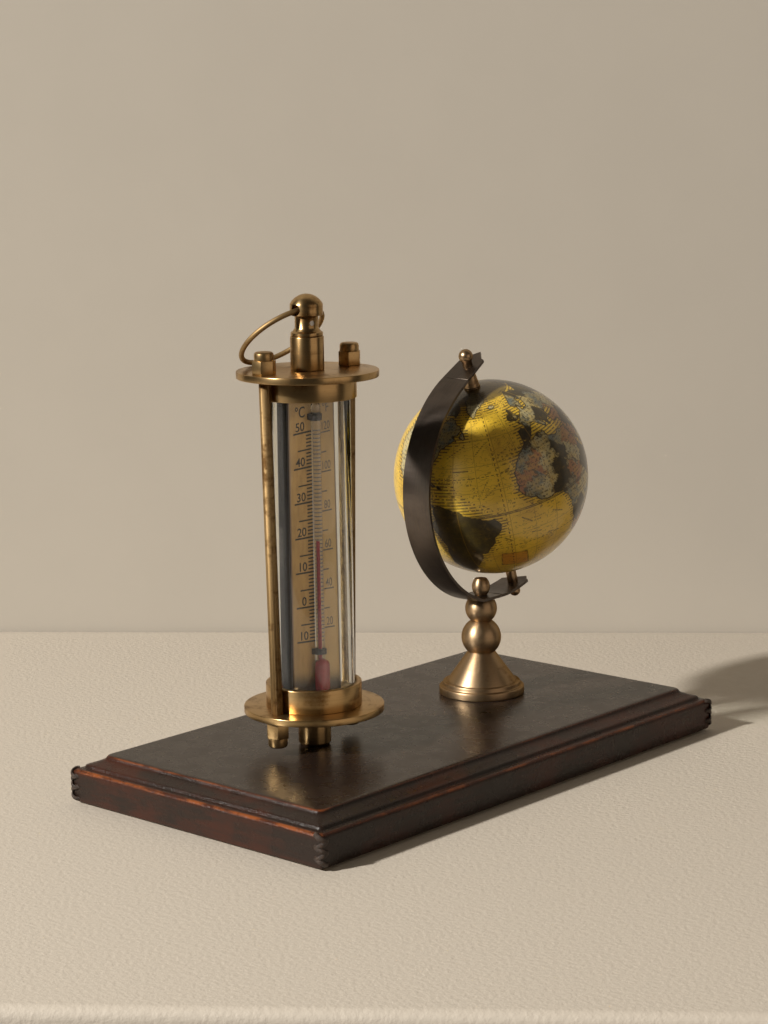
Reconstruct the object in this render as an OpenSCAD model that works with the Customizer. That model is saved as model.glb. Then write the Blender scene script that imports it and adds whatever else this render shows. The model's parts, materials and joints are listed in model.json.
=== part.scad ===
// Desk stand with a thermometer lantern at one end and a small turning globe at the other.
// Millimetres, +Z up. Origin at the centre of the underside of the base.
// +X runs along the base towards the globe, the front long side faces -Y.

/* [Base] */
// Length of the base over the leather
base_l = 226; // [180:1:280]
// Depth of the base over the leather
base_w = 124; // [100:1:160]
// Height of the flat top above the table
base_h = 17.65; // [16:0.05:22]
// Thickness of the leather cover
leather_t = 1.2; // [0.8:0.1:2]
// Thickness of the felt under the base
felt_t = 0.8; // [0.5:0.1:2]
// How far the felt stays inside the base's edge
felt_inset = 2.5; // [1:0.5:6]
// Height of the upright side below the moulding
side_h = 13; // [10:0.5:14]
// Distance from the side to the flat top
rim_inset = 8.2; // [6:0.1:14]
// Spacing of the corner stitches
stitch_pitch = 2.9; // [2:0.1:5]
// Stitches at each corner
stitch_count = 4; // [2:1:6]

/* [Lantern] */
// Centre of the lantern along the base
lantern_x = -45.2; // [-80:0.1:-30]
// Distance of both feet behind the centre line
feet_y = 4.6; // [-10:0.1:15]
// Turn of the pillars and scale about the upright
lantern_turn = -6; // [-45:1:45]
// Turn of the lower flange's pillar holes against the upper flange's
lantern_twist = 8; // [0:0.5:12]
// Radius of both flanges
flange_r = 25.6; // [20:0.1:30]
// Thickness of both flanges
flange_t = 2.45; // [1.5:0.05:4]
// Height of the round foot under the lower flange
boss_h = 12.75; // [6:0.05:20]
// Radius of the round foot
boss_r = 6; // [4:0.1:10]
// Clear height between the flanges
frame_gap = 120.05; // [80:0.05:150]
// Outside radius of the glass cylinder
glass_r = 15.05; // [12:0.05:18]
// Wall of the glass cylinder
glass_wall = 1.4; // [1:0.1:2]
// Outside radius of the two collars
collar_r = 17.5; // [15:0.1:20]
// Height of the lower collar
lower_collar_h = 8.5; // [5:0.1:14]
// Height of the upper collar
upper_collar_h = 7.4; // [5:0.1:14]
// Distance of each pillar from the upright axis
pillar_pitch = 20; // [19.7:0.1:21]
// Radius of the pillar rods
pillar_r = 2.1; // [1.5:0.05:2.5]

/* [Finial] */
// Height of the plain post on the upper flange
post_h = 12.15; // [6:0.05:20]
// Radius of the plain post
post_r = 6.05; // [4:0.05:8]
// Radius of the knob that holds the ring
knob_r = 5.9; // [4:0.05:8]
// Centre line radius of the carrying ring
ring_r = 16.4; // [12:0.1:20]
// Radius of the ring's wire
ring_wire_r = 0.95; // [0.6:0.05:1.5]

/* [Thermometer] */
// Width of the scale plate
plate_w = 22.4; // [16:0.1:24]
// Distance of the plate's face in front of the upright axis
plate_front = 2; // [0:0.1:4]
// Depth of the block behind the plate, with the plate
block_depth = 6.2; // [4:0.1:8]
// Radius of the glass stem
stem_r = 1.75; // [1.2:0.05:2.5]
// Radius of the glass bulb
bulb_r = 2.7; // [2:0.05:3.5]
// Height of the top of the red column above the table
spirit_top_z = 93.7; // [60:0.1:130]

/* [Globe stand] */
// Centre of the globe's stand along the base
globe_x = 51; // [30:0.1:80]
// Radius of the round foot plate
foot_r = 16.8; // [12:0.1:22]
// Radius of the large turned ball
large_ball_r = 7.83; // [7.5:0.01:9]
// Height of the large ball's centre
large_ball_z = 40; // [39:0.1:41]
// Radius of the small turned ball
small_ball_r = 6.27; // [5.8:0.01:7]
// Height of the small ball's centre
small_ball_z = 51.5; // [50.5:0.1:52]

/* [Globe and meridian] */
// Radius of the globe, a three inch ball
globe_r = 38.1; // [30:0.1:45]
// Tilt of the globe's axle from upright
axle_tilt = 17.6; // [0:0.1:30]
// Turn of the meridian about the stand
meridian_turn = 2.2; // [-45:0.1:45]
// Width of the meridian strip
strip_w = 12.6; // [8:0.1:16]
// Thickness of the meridian strip
strip_t = 1.1; // [0.8:0.1:2]
// Radius of the axle
axle_r = 1.2; // [0.8:0.1:2]

/* [Hidden] */

$fn = 96;
// Overlap that lets one shape cut cleanly through another
cut = 1;
// Length by which joined stretches run into each other, and the step that keeps their faces apart
lap = 0.2;
seam = 0.01;
// Radial clearance of a running fit
running = 0.05;
// Gap between flat faces that turn on each other
face_gap = 0.05;

// Base moulding, measured in from the side and up from the table
arris_r = 1.8;
ledge_in = 3;
ledge_step = 0.6;
cove_r = 20;
cove_in = -1.9;
cove_z = side_h + cove_r + ledge_step;
shoulder_z = 16.4;
rim_r = 1.2;
stitch_r = 0.6;
stitch_in = 1.7;
stitch_first_z = 2.6;
stitch_slant = 9;
stitch_from = -55;
stitch_sweep = 200;

// Fasteners under the base
well_r = 6.5;
well_top = 7;
washer_t = 0.9;
washer_r = 6;
screw_r = 2.5;
screw_head_r = 4.6;
screw_head_h = 3.2;
head_low = well_top - washer_t - screw_head_h;
rod_r = 2;

// Lantern levels
lower_flange_z = base_h + boss_h;
lower_face_z = lower_flange_z + flange_t;
upper_face_z = lower_face_z + frame_gap;
upper_top_z = upper_face_z + flange_t;
floor_t = 2.5;
gasket_t = 0.5;
socket = 0.4;
glass_low = lower_face_z + floor_t + gasket_t;
glass_high = upper_face_z - floor_t - gasket_t;
glass_in = glass_r - glass_wall;
collar_play = 0.1;
edge_break = 0.3;

// Hexagon cap nuts: size across flats, and the turn of each nut's corners, right nut first
nut_af = 7.6;
nut_corner_r = nut_af / 2 / cos(30);
nut_face_r = nut_af / 2 + 0.1;
nut_chamfer = 1.8;
top_nut_turns = [41, 31];
bottom_nut_turns = [37, 48];
nut_dome_r = 3.5;
dome_round = 1.6;
top_hex_h = 5.1;
top_dome_h = 3.1;
bottom_hex_h = 6.1;
bottom_dome_h = 3.6;
rod_in_nut = 1.6;
pillar_low = lower_flange_z - bottom_hex_h - rod_in_nut;
pillar_high = upper_top_z + top_hex_h + rod_in_nut;
pillar_middle = (lower_flange_z + upper_top_z) / 2;
pillar_span = upper_top_z - lower_flange_z;
pillar_lean = atan(2 * pillar_pitch * sin(lantern_twist / 2) / pillar_span);

// Finial levels
post_top = upper_top_z + post_h;
band_h = 1.55;
band_r = 5.8;
neck_r = 4.25;
neck_low = post_top + 2.95;
neck_high = post_top + 7;
knob_low = post_top + 7.5;
knob_high = post_top + 11.4;
dome_sphere_r = 6.6;
ring_hole_z = post_top + 9.5;
ring_hole_r = 2.05;
ring_sag = 0.35;
ring_rest = 39.5;
set_screw_r = 0.9;
set_screw_turn = 251;
set_screw_z = post_top + 4.8;
set_screw_sink = 0.1;
stud_end = post_top + 6.2;

// Thermometer levels
plate_t = 0.8;
tube_gap = 0.1;
stem_n = plate_front + stem_r + tube_gap;
bulb_n = plate_front + bulb_r + tube_gap;
bulb_wall = 0.5;
bulb_low = 38.6;
bulb_high = 51.7;
stem_top = 143;
bore_r = 0.45;
clip_h = 2;
clip_r = 2.35;
clip_zs = [53, 136.7];

// Globe stand levels
foot_t = 3.05;
bead_t = 1.8;
bead_r = 15.3;
bead_round = 0.6;
cone_low = base_h + foot_t + bead_t;
cone_r1 = 13.8;
cone_r2 = 5.3;
cone_high = 34.4;
ball_joint_z = 46.65;

// Meridian strip, in its own upright plane: u along the plane, z up
seat_z = 56.32;
seat_left = 6.3;
seat_right = 4.35;
left_u = -7.98;
left_z = 101.64;
left_r = norm([seat_left - left_u, left_z - seat_z]);
left_start = -asin((left_z - seat_z) / left_r);
left_end = 62;
right_r = 71.3;
right_sweep = 22;
spare_sweep = 0.4;
tail_l = 18.6;
tail_cut_t = 14;
upper_tail = [[6.4, -6.8], [0.4, -0.5], [4.7, 2.6], [5.5, 4.3], [27, 6.7]];
lower_tail = [[9.4, -6.8], [6.3, -0.2], [4.9, 2.9], [7.4, 4.4], [7.3, 5.2], [25, 6.5]];
globe_u = -6.93;
globe_z = 103.05;
upper_strip_t = 46.56;
lower_strip_t = 46.92;
upper_slope = 90 + left_end;
flat_t = strip_t + 2 * seam;
ball_top_z = seat_z - strip_t / 2 - face_gap;
nut_low_z = seat_z + strip_t / 2 + face_gap;
nut_h = 6.6;
nut_r = 3.56;
nut_barrel_r = 5;

// Globe
paper_t = 0.3;
shell_t = 2;
bush_r = 2.2;
bush_flange_r = 3.2;
bush_flange_t = 0.5;
bush_depth = 6;
bush_seat = 0.2;
bush_top = globe_r + bush_flange_t;
spacer_gap = 0.2;
upper_spacer_r = 3;
lower_spacer_r = 2.05;
upper_ball_r = 2.75;
upper_ball_t = 51.2;
lower_ball_r = 2.25;
lower_ball_t = 50.6;
pivot_collar_r = 1.9;

brass = [0.72, 0.56, 0.32];
bronze = [0.3, 0.23, 0.16];
steel = [0.6, 0.6, 0.6];

module at_lantern() {
    translate([lantern_x, feet_y, 0])
        rotate(lantern_turn)
            children();
}

// Stands children upright on one leaning pillar's axis at a level, 0 being the right pillar
module at_pillar(number, level) {
    rotate(180 * number + lantern_twist / 2)
        translate([pillar_pitch * cos(lantern_twist / 2), (pillar_middle - level) * tan(pillar_lean), level])
            children();
}

// Both leaning pillars as plain stock of any radius
module pillar_stock(r) {
    for (number = [0, 1])
        at_pillar(number, pillar_middle)
            rotate([pillar_lean, 0, 0])
                translate([0, 0, pillar_low - pillar_middle])
                    cylinder(r = r, h = pillar_high - pillar_low);
}

module at_globe() {
    translate([globe_x, feet_y, 0])
        children();
}

// Stands children in the meridian's plane: +X there points from the stand towards the strip's back
module at_meridian() {
    translate([globe_x, feet_y, 0])
        rotate(180 + meridian_turn)
            children();
}

// Puts children on the globe's axle, +Z along it, origin at the globe's centre
module on_axle() {
    at_meridian()
        translate([globe_u, 0, globe_z])
            rotate([0, axle_tilt, 0])
                children();
}

// Turned disc with a rounded upper edge
module domed_disc(r, h, round_r) {
    rotate_extrude() {
        square([r, h - round_r]);
        square([r - round_r, h]);
        translate([r - round_r, h - round_r])
            circle(r = round_r);
    }
}

// Turned disc with both edges broken
module plain_disc(r, h) {
    translate([0, 0, edge_break])
        cylinder(r = r, h = h - 2 * edge_break);
    cylinder(r1 = r - edge_break, r2 = r, h = edge_break);
    translate([0, 0, h - edge_break])
        cylinder(r1 = r, r2 = r - edge_break, h = edge_break);
}

module washer(outer, inner, h) {
    difference() {
        cylinder(r = outer, h = h);
        translate([0, 0, -cut])
            cylinder(r = inner, h = h + 2 * cut);
    }
}

// Rectangle of a given half width from the felt up, with its two upper corners rounded
module rounded_bar(half, top, round_r) {
    translate([-half, felt_t])
        square([2 * half, top - felt_t - round_r]);
    translate([-half + round_r, felt_t])
        square([2 * (half - round_r), top - felt_t]);
    for (side = [-1, 1])
        translate([side * (half - round_r), top - round_r])
            circle(r = round_r);
}

// Cross-section of the base over a given span, with a skin taken off all round
module base_section(span, skin) {
    rounded_bar(span / 2 - skin, side_h - skin, arris_r - skin);
    rounded_bar(span / 2 - rim_inset - skin, base_h - skin, rim_r);
    difference() {
        translate([-span / 2 + ledge_in + skin, felt_t])
            square([span - 2 * (ledge_in + skin), shoulder_z - skin - felt_t]);
        for (side = [-1, 1])
            translate([side * (span / 2 - cove_in), cove_z])
                circle(r = cove_r + skin);
    }
}

// The moulded base with mitred corners
module base_solid(skin) {
    intersection() {
        rotate([90, 0, 0])
            linear_extrude(height = base_w + 2 * cut, center = true)
                base_section(base_l, skin);
        rotate([90, 0, 90])
            linear_extrude(height = base_l + 2 * cut, center = true)
                base_section(base_w, skin);
    }
}

// Bolt holes and wells for the two fixings under the base
module base_holes() {
    for (fixing = [[lantern_x, screw_r], [globe_x, rod_r]])
        translate([fixing[0], feet_y, -cut]) {
            cylinder(r = fixing[1] + running, h = base_h + 2 * cut);
            cylinder(r = well_r, h = well_top + cut);
        }
}

// One thong laid over a vertical corner of the leather
module stitch() {
    rotate([0, 0, stitch_from])
        rotate_extrude(angle = stitch_sweep)
            translate([stitch_in * sqrt(2), 0])
                circle(r = stitch_r, $fn = 24);
}

module corner_lacing() {
    color([0.2, 0.12, 0.09])
        for (side_x = [0, 1])
            for (side_y = [0, 1])
                for (i = [0 : stitch_count - 1])
                    mirror([side_x, 0, 0])
                        mirror([0, side_y, 0])
                            translate([base_l / 2 - stitch_in, base_w / 2 - stitch_in,
                                       stitch_first_z + i * stitch_pitch])
                                rotate(a = stitch_slant, v = [1, 1, 0])
                                    stitch();
}

module board_core() {
    color([0.55, 0.38, 0.22])
        difference() {
            base_solid(leather_t);
            base_holes();
        }
}

module leather_cover() {
    color([0.16, 0.11, 0.09])
        difference() {
            base_solid(0);
            base_solid(leather_t);
            base_holes();
            corner_lacing();
        }
}

module base_felt() {
    color([0.12, 0.2, 0.14])
        translate([-base_l / 2 + felt_inset, -base_w / 2 + felt_inset, 0])
            cube([base_l - 2 * felt_inset, base_w - 2 * felt_inset, felt_t]);
}

module base_washers() {
    color(steel)
        for (fixing = [[lantern_x, screw_r], [globe_x, rod_r]])
            translate([fixing[0], feet_y, well_top - washer_t])
                washer(washer_r, fixing[1] + running, washer_t);
}

module lantern_screw() {
    color(steel)
        translate([lantern_x, feet_y, 0]) {
            translate([0, 0, head_low])
                cylinder(r = screw_head_r, h = screw_head_h);
            translate([0, 0, head_low])
                cylinder(r = screw_r, h = lower_face_z + floor_t - socket - head_low);
        }
}

module lantern_foot() {
    color(brass)
        at_lantern()
            translate([0, 0, base_h])
                washer(boss_r, screw_r + running, boss_h);
}

// A flange at a level, with its centre hole and two leaning pillar holes
module flange(level, bore) {
    difference() {
        translate([0, 0, level])
            plain_disc(flange_r, flange_t);
        translate([0, 0, level - cut])
            cylinder(r = bore, h = flange_t + 2 * cut);
        pillar_stock(pillar_r + collar_play);
    }
}

module lower_flange() {
    color(brass)
        at_lantern()
            flange(lower_flange_z, screw_r + running);
}

module upper_flange() {
    color(brass)
        at_lantern()
            flange(upper_face_z, rod_r + running);
}

// Cup that holds one end of the glass, floor down, with a socket for the block
module collar(h, bore) {
    difference() {
        cylinder(r = collar_r, h = h);
        translate([0, 0, floor_t])
            cylinder(r = glass_r + collar_play, h = h);
        translate([0, 0, -cut])
            cylinder(r = bore, h = floor_t + 2 * cut);
        translate([-plate_w / 2, -plate_front, floor_t - socket])
            cube([plate_w, block_depth, socket + cut]);
    }
}

module lower_collar() {
    color(brass)
        at_lantern()
            translate([0, 0, lower_face_z])
                collar(lower_collar_h, screw_r);
}

module upper_collar() {
    color(brass)
        at_lantern()
            difference() {
                translate([0, 0, upper_face_z])
                    mirror([0, 0, 1])
                        collar(upper_collar_h, rod_r);
                translate([0, 0, upper_face_z - upper_collar_h - cut])
                    washer(collar_r + cut, collar_r - edge_break * 2, cut + edge_break * 3);
            }
}

module lower_gasket() {
    color([0.35, 0.25, 0.18])
        at_lantern()
            translate([0, 0, lower_face_z + floor_t])
                washer(glass_r, glass_in, gasket_t);
}

module upper_gasket() {
    color([0.35, 0.25, 0.18])
        at_lantern()
            translate([0, 0, glass_high])
                washer(glass_r, glass_in, gasket_t);
}

module pillar_rods() {
    color(brass)
        at_lantern()
            pillar_stock(pillar_r);
}

// Solid cap nut standing on its flat face
module cap_nut(hex_h, dome_h, turn) {
    intersection() {
        rotate(turn)
            cylinder(r = nut_corner_r, h = hex_h, $fn = 6);
        cylinder(r1 = nut_face_r + nut_chamfer * hex_h, r2 = nut_face_r, h = hex_h);
    }
    translate([0, 0, hex_h - cut])
        domed_disc(nut_dome_r, dome_h + cut, dome_round);
}

module top_cap_nuts() {
    color(brass)
        at_lantern()
            difference() {
                for (number = [0, 1])
                    at_pillar(number, upper_top_z)
                        cap_nut(top_hex_h, top_dome_h, top_nut_turns[number]);
                pillar_stock(pillar_r);
            }
}

module bottom_cap_nuts() {
    color(brass)
        at_lantern()
            difference() {
                for (number = [0, 1])
                    at_pillar(number, lower_flange_z)
                        mirror([0, 0, 1])
                            cap_nut(bottom_hex_h, bottom_dome_h, bottom_nut_turns[number]);
                pillar_stock(pillar_r);
            }
}

module glass_cylinder() {
    color([0.85, 0.9, 0.9, 0.3])
        at_lantern()
            translate([0, 0, glass_low])
                washer(glass_r, glass_in, glass_high - glass_low);
}

module scale_block() {
    color([0.05, 0.05, 0.05])
        at_lantern()
            translate([-plate_w / 2, -plate_front + plate_t, lower_face_z + floor_t - socket])
                cube([plate_w, block_depth - plate_t, frame_gap - 2 * floor_t + 2 * socket]);
}

module scale_plate() {
    color([0.75, 0.6, 0.35])
        at_lantern()
            translate([-plate_w / 2, -plate_front, lower_face_z + floor_t - socket])
                cube([plate_w, plate_t, frame_gap - 2 * floor_t + 2 * socket]);
}

// Upright rod with round ends
module capsule(r, low, high) {
    translate([0, 0, low + r])
        cylinder(r = r, h = high - low - 2 * r);
    for (z = [low + r, high - r])
        translate([0, 0, z])
            sphere(r = r);
}

module red_spirit() {
    color([0.7, 0.08, 0.06])
        at_lantern() {
            translate([0, -stem_n, bulb_high - bulb_r])
                cylinder(r = bore_r, h = spirit_top_z - bulb_high + bulb_r);
            translate([0, -bulb_n, 0])
                capsule(bulb_r - bulb_wall, bulb_low + bulb_wall, bulb_high - bulb_wall);
        }
}

module thermometer_tube() {
    color([0.85, 0.9, 0.9, 0.3])
        difference() {
            at_lantern() {
                translate([0, -stem_n, 0])
                    capsule(stem_r, bulb_high - 2 * stem_r, stem_top);
                translate([0, -bulb_n, 0])
                    capsule(bulb_r, bulb_low, bulb_high);
            }
            red_spirit();
        }
}

module tube_clips() {
    color([0.2, 0.15, 0.1])
        at_lantern()
            for (z = clip_zs)
                difference() {
                    union() {
                        translate([0, -stem_n, z])
                            cylinder(r = clip_r, h = clip_h);
                        translate([-clip_r, -stem_n, z])
                            cube([2 * clip_r, stem_n - plate_front, clip_h]);
                    }
                    translate([0, -stem_n, z - cut])
                        cylinder(r = stem_r, h = clip_h + 2 * cut);
                    translate([-clip_r - cut, -plate_front, z - cut])
                        cube([2 * clip_r + 2 * cut, clip_r, clip_h + 2 * cut]);
                }
}

module finial_stud() {
    color(steel)
        at_lantern()
            translate([0, 0, upper_face_z - floor_t + socket])
                cylinder(r = rod_r, h = stud_end - upper_face_z + floor_t - socket);
}

module finial_post() {
    color(brass)
        at_lantern()
            difference() {
                translate([0, 0, upper_top_z])
                    plain_disc(post_r, post_h);
                translate([0, 0, upper_top_z - cut])
                    cylinder(r = rod_r, h = post_h + 2 * cut);
            }
}

module finial_knob() {
    color(brass)
        translate([lantern_x, feet_y, 0])
            difference() {
                union() {
                    translate([0, 0, post_top])
                        plain_disc(band_r, band_h);
                    translate([0, 0, post_top + band_h - edge_break])
                        cylinder(r1 = band_r - edge_break, r2 = neck_r,
                                 h = neck_low - post_top - band_h + edge_break);
                    translate([0, 0, neck_low])
                        cylinder(r = neck_r, h = neck_high - neck_low);
                    translate([0, 0, neck_high])
                        cylinder(r1 = neck_r, r2 = knob_r, h = knob_low - neck_high);
                    translate([0, 0, knob_low])
                        cylinder(r = knob_r, h = knob_high - knob_low);
                    intersection() {
                        translate([0, 0, knob_high - sqrt(pow(dome_sphere_r, 2) - pow(knob_r, 2))])
                            sphere(r = dome_sphere_r);
                        translate([0, 0, knob_high])
                            cylinder(r = knob_r, h = dome_sphere_r);
                    }
                }
                translate([0, 0, post_top - cut])
                    cylinder(r = rod_r, h = stud_end - post_top + cut);
                translate([0, 0, ring_hole_z])
                    rotate([0, 90, 0])
                        cylinder(r = ring_hole_r, h = 3 * knob_r, center = true);
                set_screw_bore();
            }
}

// Cross bore from the neck's face to the stud
module set_screw_bore() {
    translate([0, 0, set_screw_z])
        rotate([0, 90, set_screw_turn])
            cylinder(r = set_screw_r, h = neck_r + cut);
}

module neck_set_screw() {
    color(steel)
        translate([lantern_x, feet_y, 0])
            difference() {
                intersection() {
                    set_screw_bore();
                    cylinder(r = neck_r - set_screw_sink, h = neck_high);
                }
                cylinder(r = rod_r, h = neck_high);
            }
}

module carry_ring() {
    color(brass)
        translate([lantern_x, feet_y, ring_hole_z])
            rotate([-ring_rest, 0, 0])
                translate([0, ring_r - ring_sag, 0])
                    rotate_extrude()
                        translate([ring_r, 0])
                            circle(r = ring_wire_r, $fn = 48);
}

// Clears the tie rod through the turned stack
module tie_rod_bore() {
    cylinder(r = rod_r, h = globe_z);
}

module globe_foot() {
    color(brass)
        at_globe()
            difference() {
                union() {
                    translate([0, 0, base_h])
                        plain_disc(foot_r, foot_t);
                    translate([0, 0, base_h + foot_t - edge_break])
                        domed_disc(bead_r, bead_t + edge_break, bead_round);
                }
                tie_rod_bore();
            }
}

module stem_cone() {
    color(brass)
        at_globe()
            difference() {
                translate([0, 0, cone_low])
                    cylinder(r1 = cone_r1, r2 = cone_r2, h = cone_high - cone_low);
                tie_rod_bore();
            }
}

// Turned ball faced off flat below and above
module faced_ball(r, z, low, high) {
    difference() {
        intersection() {
            translate([0, 0, z])
                sphere(r = r);
            translate([0, 0, low])
                cylinder(r = 2 * r, h = high - low);
        }
        tie_rod_bore();
    }
}

module large_ball() {
    color(brass)
        at_globe()
            faced_ball(large_ball_r, large_ball_z, cone_high, ball_joint_z);
}

module small_ball() {
    color(brass)
        at_globe()
            faced_ball(small_ball_r, small_ball_z, ball_joint_z, ball_top_z);
}

module tie_rod() {
    color(steel)
        at_globe()
            translate([0, 0, head_low])
                cylinder(r = rod_r, h = nut_low_z + nut_h - cut - head_low);
}

module tie_rod_nut() {
    color(steel)
        at_globe()
            translate([0, 0, head_low])
                difference() {
                    cylinder(r = nut_corner_r, h = screw_head_h, $fn = 6);
                    translate([0, 0, -cut])
                        cylinder(r = rod_r, h = screw_head_h + 2 * cut);
                }
}

// Barrel nut that clamps the meridian strip on the small ball
module meridian_nut() {
    color(brass)
        at_globe()
            difference() {
                translate([0, 0, nut_low_z + nut_h / 2])
                    rotate_extrude()
                        intersection() {
                            translate([nut_r - nut_barrel_r, 0])
                                circle(r = nut_barrel_r);
                            translate([0, -nut_h / 2])
                                square([nut_r, nut_h]);
                        }
                cylinder(r = rod_r, h = nut_low_z + nut_h - cut);
            }
}

// Part of a ring in the meridian's plane, from one angle over a sweep
module strip_arc(centre_u, centre_z, r, start, sweep) {
    translate([centre_u, 0, centre_z])
        rotate([90, 0, 0])
            rotate([0, 0, start])
                rotate_extrude(angle = sweep, $fn = 180)
                    translate([r - strip_t / 2, -strip_w / 2])
                        square([strip_t, strip_w]);
}

// Round joint where two stretches of the strip meet
module strip_bend(u, z) {
    translate([u, 0, z])
        rotate([90, 0, 0])
            cylinder(r = flat_t / 2 + seam, h = strip_w, center = true);
}

// Cuts the strip's end to a swallow tail. Each point of its outline, back to front, is a
// distance short of the tip and a place across the strip
module tail_cut(tip, outline) {
    linear_extrude(height = tail_cut_t, center = true)
        polygon(concat([for (point = outline) [tip - point[0], point[1]]],
                       [[tip + cut, strip_w], [tip + cut, -strip_w]]));
}

module meridian_arc() {
    top_u = left_u + left_r * cos(left_end);
    top_z = left_z + left_r * sin(left_end);
    color(bronze) {
        difference() {
            at_meridian()
                difference() {
                    union() {
                        strip_arc(left_u, left_z, left_r, left_start, left_end - left_start);
                        strip_bend(seat_left, seat_z);
                        translate([-seat_right - lap, -strip_w / 2, seat_z - flat_t / 2])
                            cube([seat_left + seat_right + lap, strip_w, flat_t]);
                        strip_arc(-seat_right, seat_z + right_r, right_r,
                                  -90 - right_sweep - spare_sweep, right_sweep + spare_sweep);
                        translate([top_u, -strip_w / 2, top_z])
                            rotate([0, -upper_slope, 0])
                                translate([-lap, 0, -flat_t / 2])
                                    cube([tail_l + 2 * lap, strip_w, flat_t]);
                    }
                    cylinder(r = rod_r + running, h = globe_z);
                    translate([top_u, 0, top_z])
                        rotate([0, -upper_slope, 0])
                            tail_cut(tail_l, upper_tail);
                    translate([-seat_right, 0, seat_z + right_r])
                        rotate([0, 180 + right_sweep, 0])
                            translate([0, 0, right_r])
                                tail_cut(0, lower_tail);
                }
            on_axle()
                cylinder(r = axle_r, h = 3 * globe_r, center = true);
        }
    }
}

module globe_axle() {
    color(steel)
        on_axle()
            translate([0, 0, -lower_ball_t])
                cylinder(r = axle_r, h = lower_ball_t + upper_ball_t);
}

// Ball nut on an axle end, its collar against the strip
module pivot_nut(ball_r, ball_t, strip_face) {
    difference() {
        union() {
            translate([0, 0, ball_t])
                sphere(r = ball_r);
            translate([0, 0, strip_face])
                cylinder(r = pivot_collar_r, h = ball_t - strip_face);
        }
        cylinder(r = axle_r, h = ball_t);
    }
}

module upper_pivot_nut() {
    color(brass)
        difference() {
            on_axle()
                pivot_nut(upper_ball_r, upper_ball_t, upper_strip_t);
            meridian_arc();
        }
}

module lower_pivot_nut() {
    color(brass)
        difference() {
            on_axle()
                mirror([0, 0, 1])
                    pivot_nut(lower_ball_r, lower_ball_t, lower_strip_t);
            meridian_arc();
        }
}

// Sleeves on the axle between the strip and the globe
module upper_spacer() {
    color(brass)
        difference() {
            on_axle()
                difference() {
                    translate([0, 0, bush_top + spacer_gap])
                        cylinder(r1 = upper_spacer_r, r2 = pivot_collar_r,
                                 h = upper_strip_t - bush_top - spacer_gap);
                    cylinder(r = axle_r, h = 2 * globe_r);
                }
            meridian_arc();
        }
}

module lower_spacer() {
    color(brass)
        difference() {
            on_axle()
                mirror([0, 0, 1])
                    difference() {
                        translate([0, 0, bush_top + spacer_gap])
                            cylinder(r = lower_spacer_r, h = lower_strip_t - bush_top - spacer_gap);
                        cylinder(r = axle_r, h = 2 * globe_r);
                    }
            meridian_arc();
        }
}

module pole_bushes() {
    color(brass)
        on_axle()
            for (side = [0, 1])
                mirror([0, 0, side])
                    difference() {
                        union() {
                            translate([0, 0, globe_r - bush_seat])
                                cylinder(r = bush_flange_r, h = bush_flange_t + bush_seat);
                            translate([0, 0, globe_r - bush_depth])
                                cylinder(r = bush_r, h = bush_depth);
                        }
                        cylinder(r = axle_r + running, h = 2 * globe_r);
                    }
}

// Half of a hollow ball, open along the equator, bored at its pole
module half_shell(outer, inner) {
    difference() {
        intersection() {
            sphere(r = outer);
            cylinder(r = 2 * outer, h = 2 * outer);
        }
        sphere(r = inner);
        cylinder(r = bush_r, h = 2 * outer);
    }
}

module globe_north() {
    color([0.8, 0.75, 0.6])
        on_axle()
            half_shell(globe_r - paper_t, globe_r - paper_t - shell_t);
}

module globe_south() {
    color([0.8, 0.75, 0.6])
        on_axle()
            mirror([0, 0, 1])
                half_shell(globe_r - paper_t, globe_r - paper_t - shell_t);
}

module map_gores() {
    color([0.72, 0.53, 0.15])
        on_axle()
            difference() {
                sphere(r = globe_r);
                sphere(r = globe_r - paper_t);
                for (side = [0, 1])
                    mirror([0, 0, side]) {
                        cylinder(r = bush_r, h = 2 * globe_r);
                        translate([0, 0, globe_r - bush_seat])
                            cylinder(r = bush_flange_r, h = globe_r);
                    }
            }
}

board_core();
leather_cover();
corner_lacing();
base_felt();
base_washers();
lantern_screw();
lantern_foot();
lower_flange();
lower_collar();
lower_gasket();
pillar_rods();
upper_flange();
upper_collar();
upper_gasket();
top_cap_nuts();
bottom_cap_nuts();
glass_cylinder();
scale_block();
scale_plate();
thermometer_tube();
red_spirit();
tube_clips();
finial_stud();
finial_post();
finial_knob();
neck_set_screw();
carry_ring();
globe_foot();
stem_cone();
large_ball();
small_ball();
tie_rod();
tie_rod_nut();
meridian_nut();
meridian_arc();
globe_axle();
upper_spacer();
lower_spacer();
upper_pivot_nut();
lower_pivot_nut();
pole_bushes();
globe_north();
globe_south();
map_gores();
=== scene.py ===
"""Dresses the globe thermometer desk stand.

Every size is in millimetres until a piece is placed, and MM turns it into metres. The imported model
gives the places: a turned piece takes its axis, its levels and its radius from its node's box.
"""

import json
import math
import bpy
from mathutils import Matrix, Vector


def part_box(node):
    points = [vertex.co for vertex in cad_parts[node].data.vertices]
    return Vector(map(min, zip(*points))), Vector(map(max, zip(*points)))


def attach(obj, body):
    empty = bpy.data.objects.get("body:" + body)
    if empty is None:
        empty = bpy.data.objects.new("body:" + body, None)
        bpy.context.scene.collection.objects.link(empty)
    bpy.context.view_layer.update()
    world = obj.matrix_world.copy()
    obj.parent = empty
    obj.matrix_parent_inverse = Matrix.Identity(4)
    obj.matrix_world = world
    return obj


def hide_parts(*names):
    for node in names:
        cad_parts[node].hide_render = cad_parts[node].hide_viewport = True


bl_info = {
    "name": "Globe thermometer desk stand",
    "version": (1, 0, 0),
    "blender": (4, 5, 0),
    "location": "View3D > Sidebar > Desk Stand",
    "description": "Dresses a desk stand with a thermometer lantern and a turning globe",
    "category": "Add Mesh",
}

import bmesh
import bpy
import numpy as np
from mathutils import Matrix, Vector, noise

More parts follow.
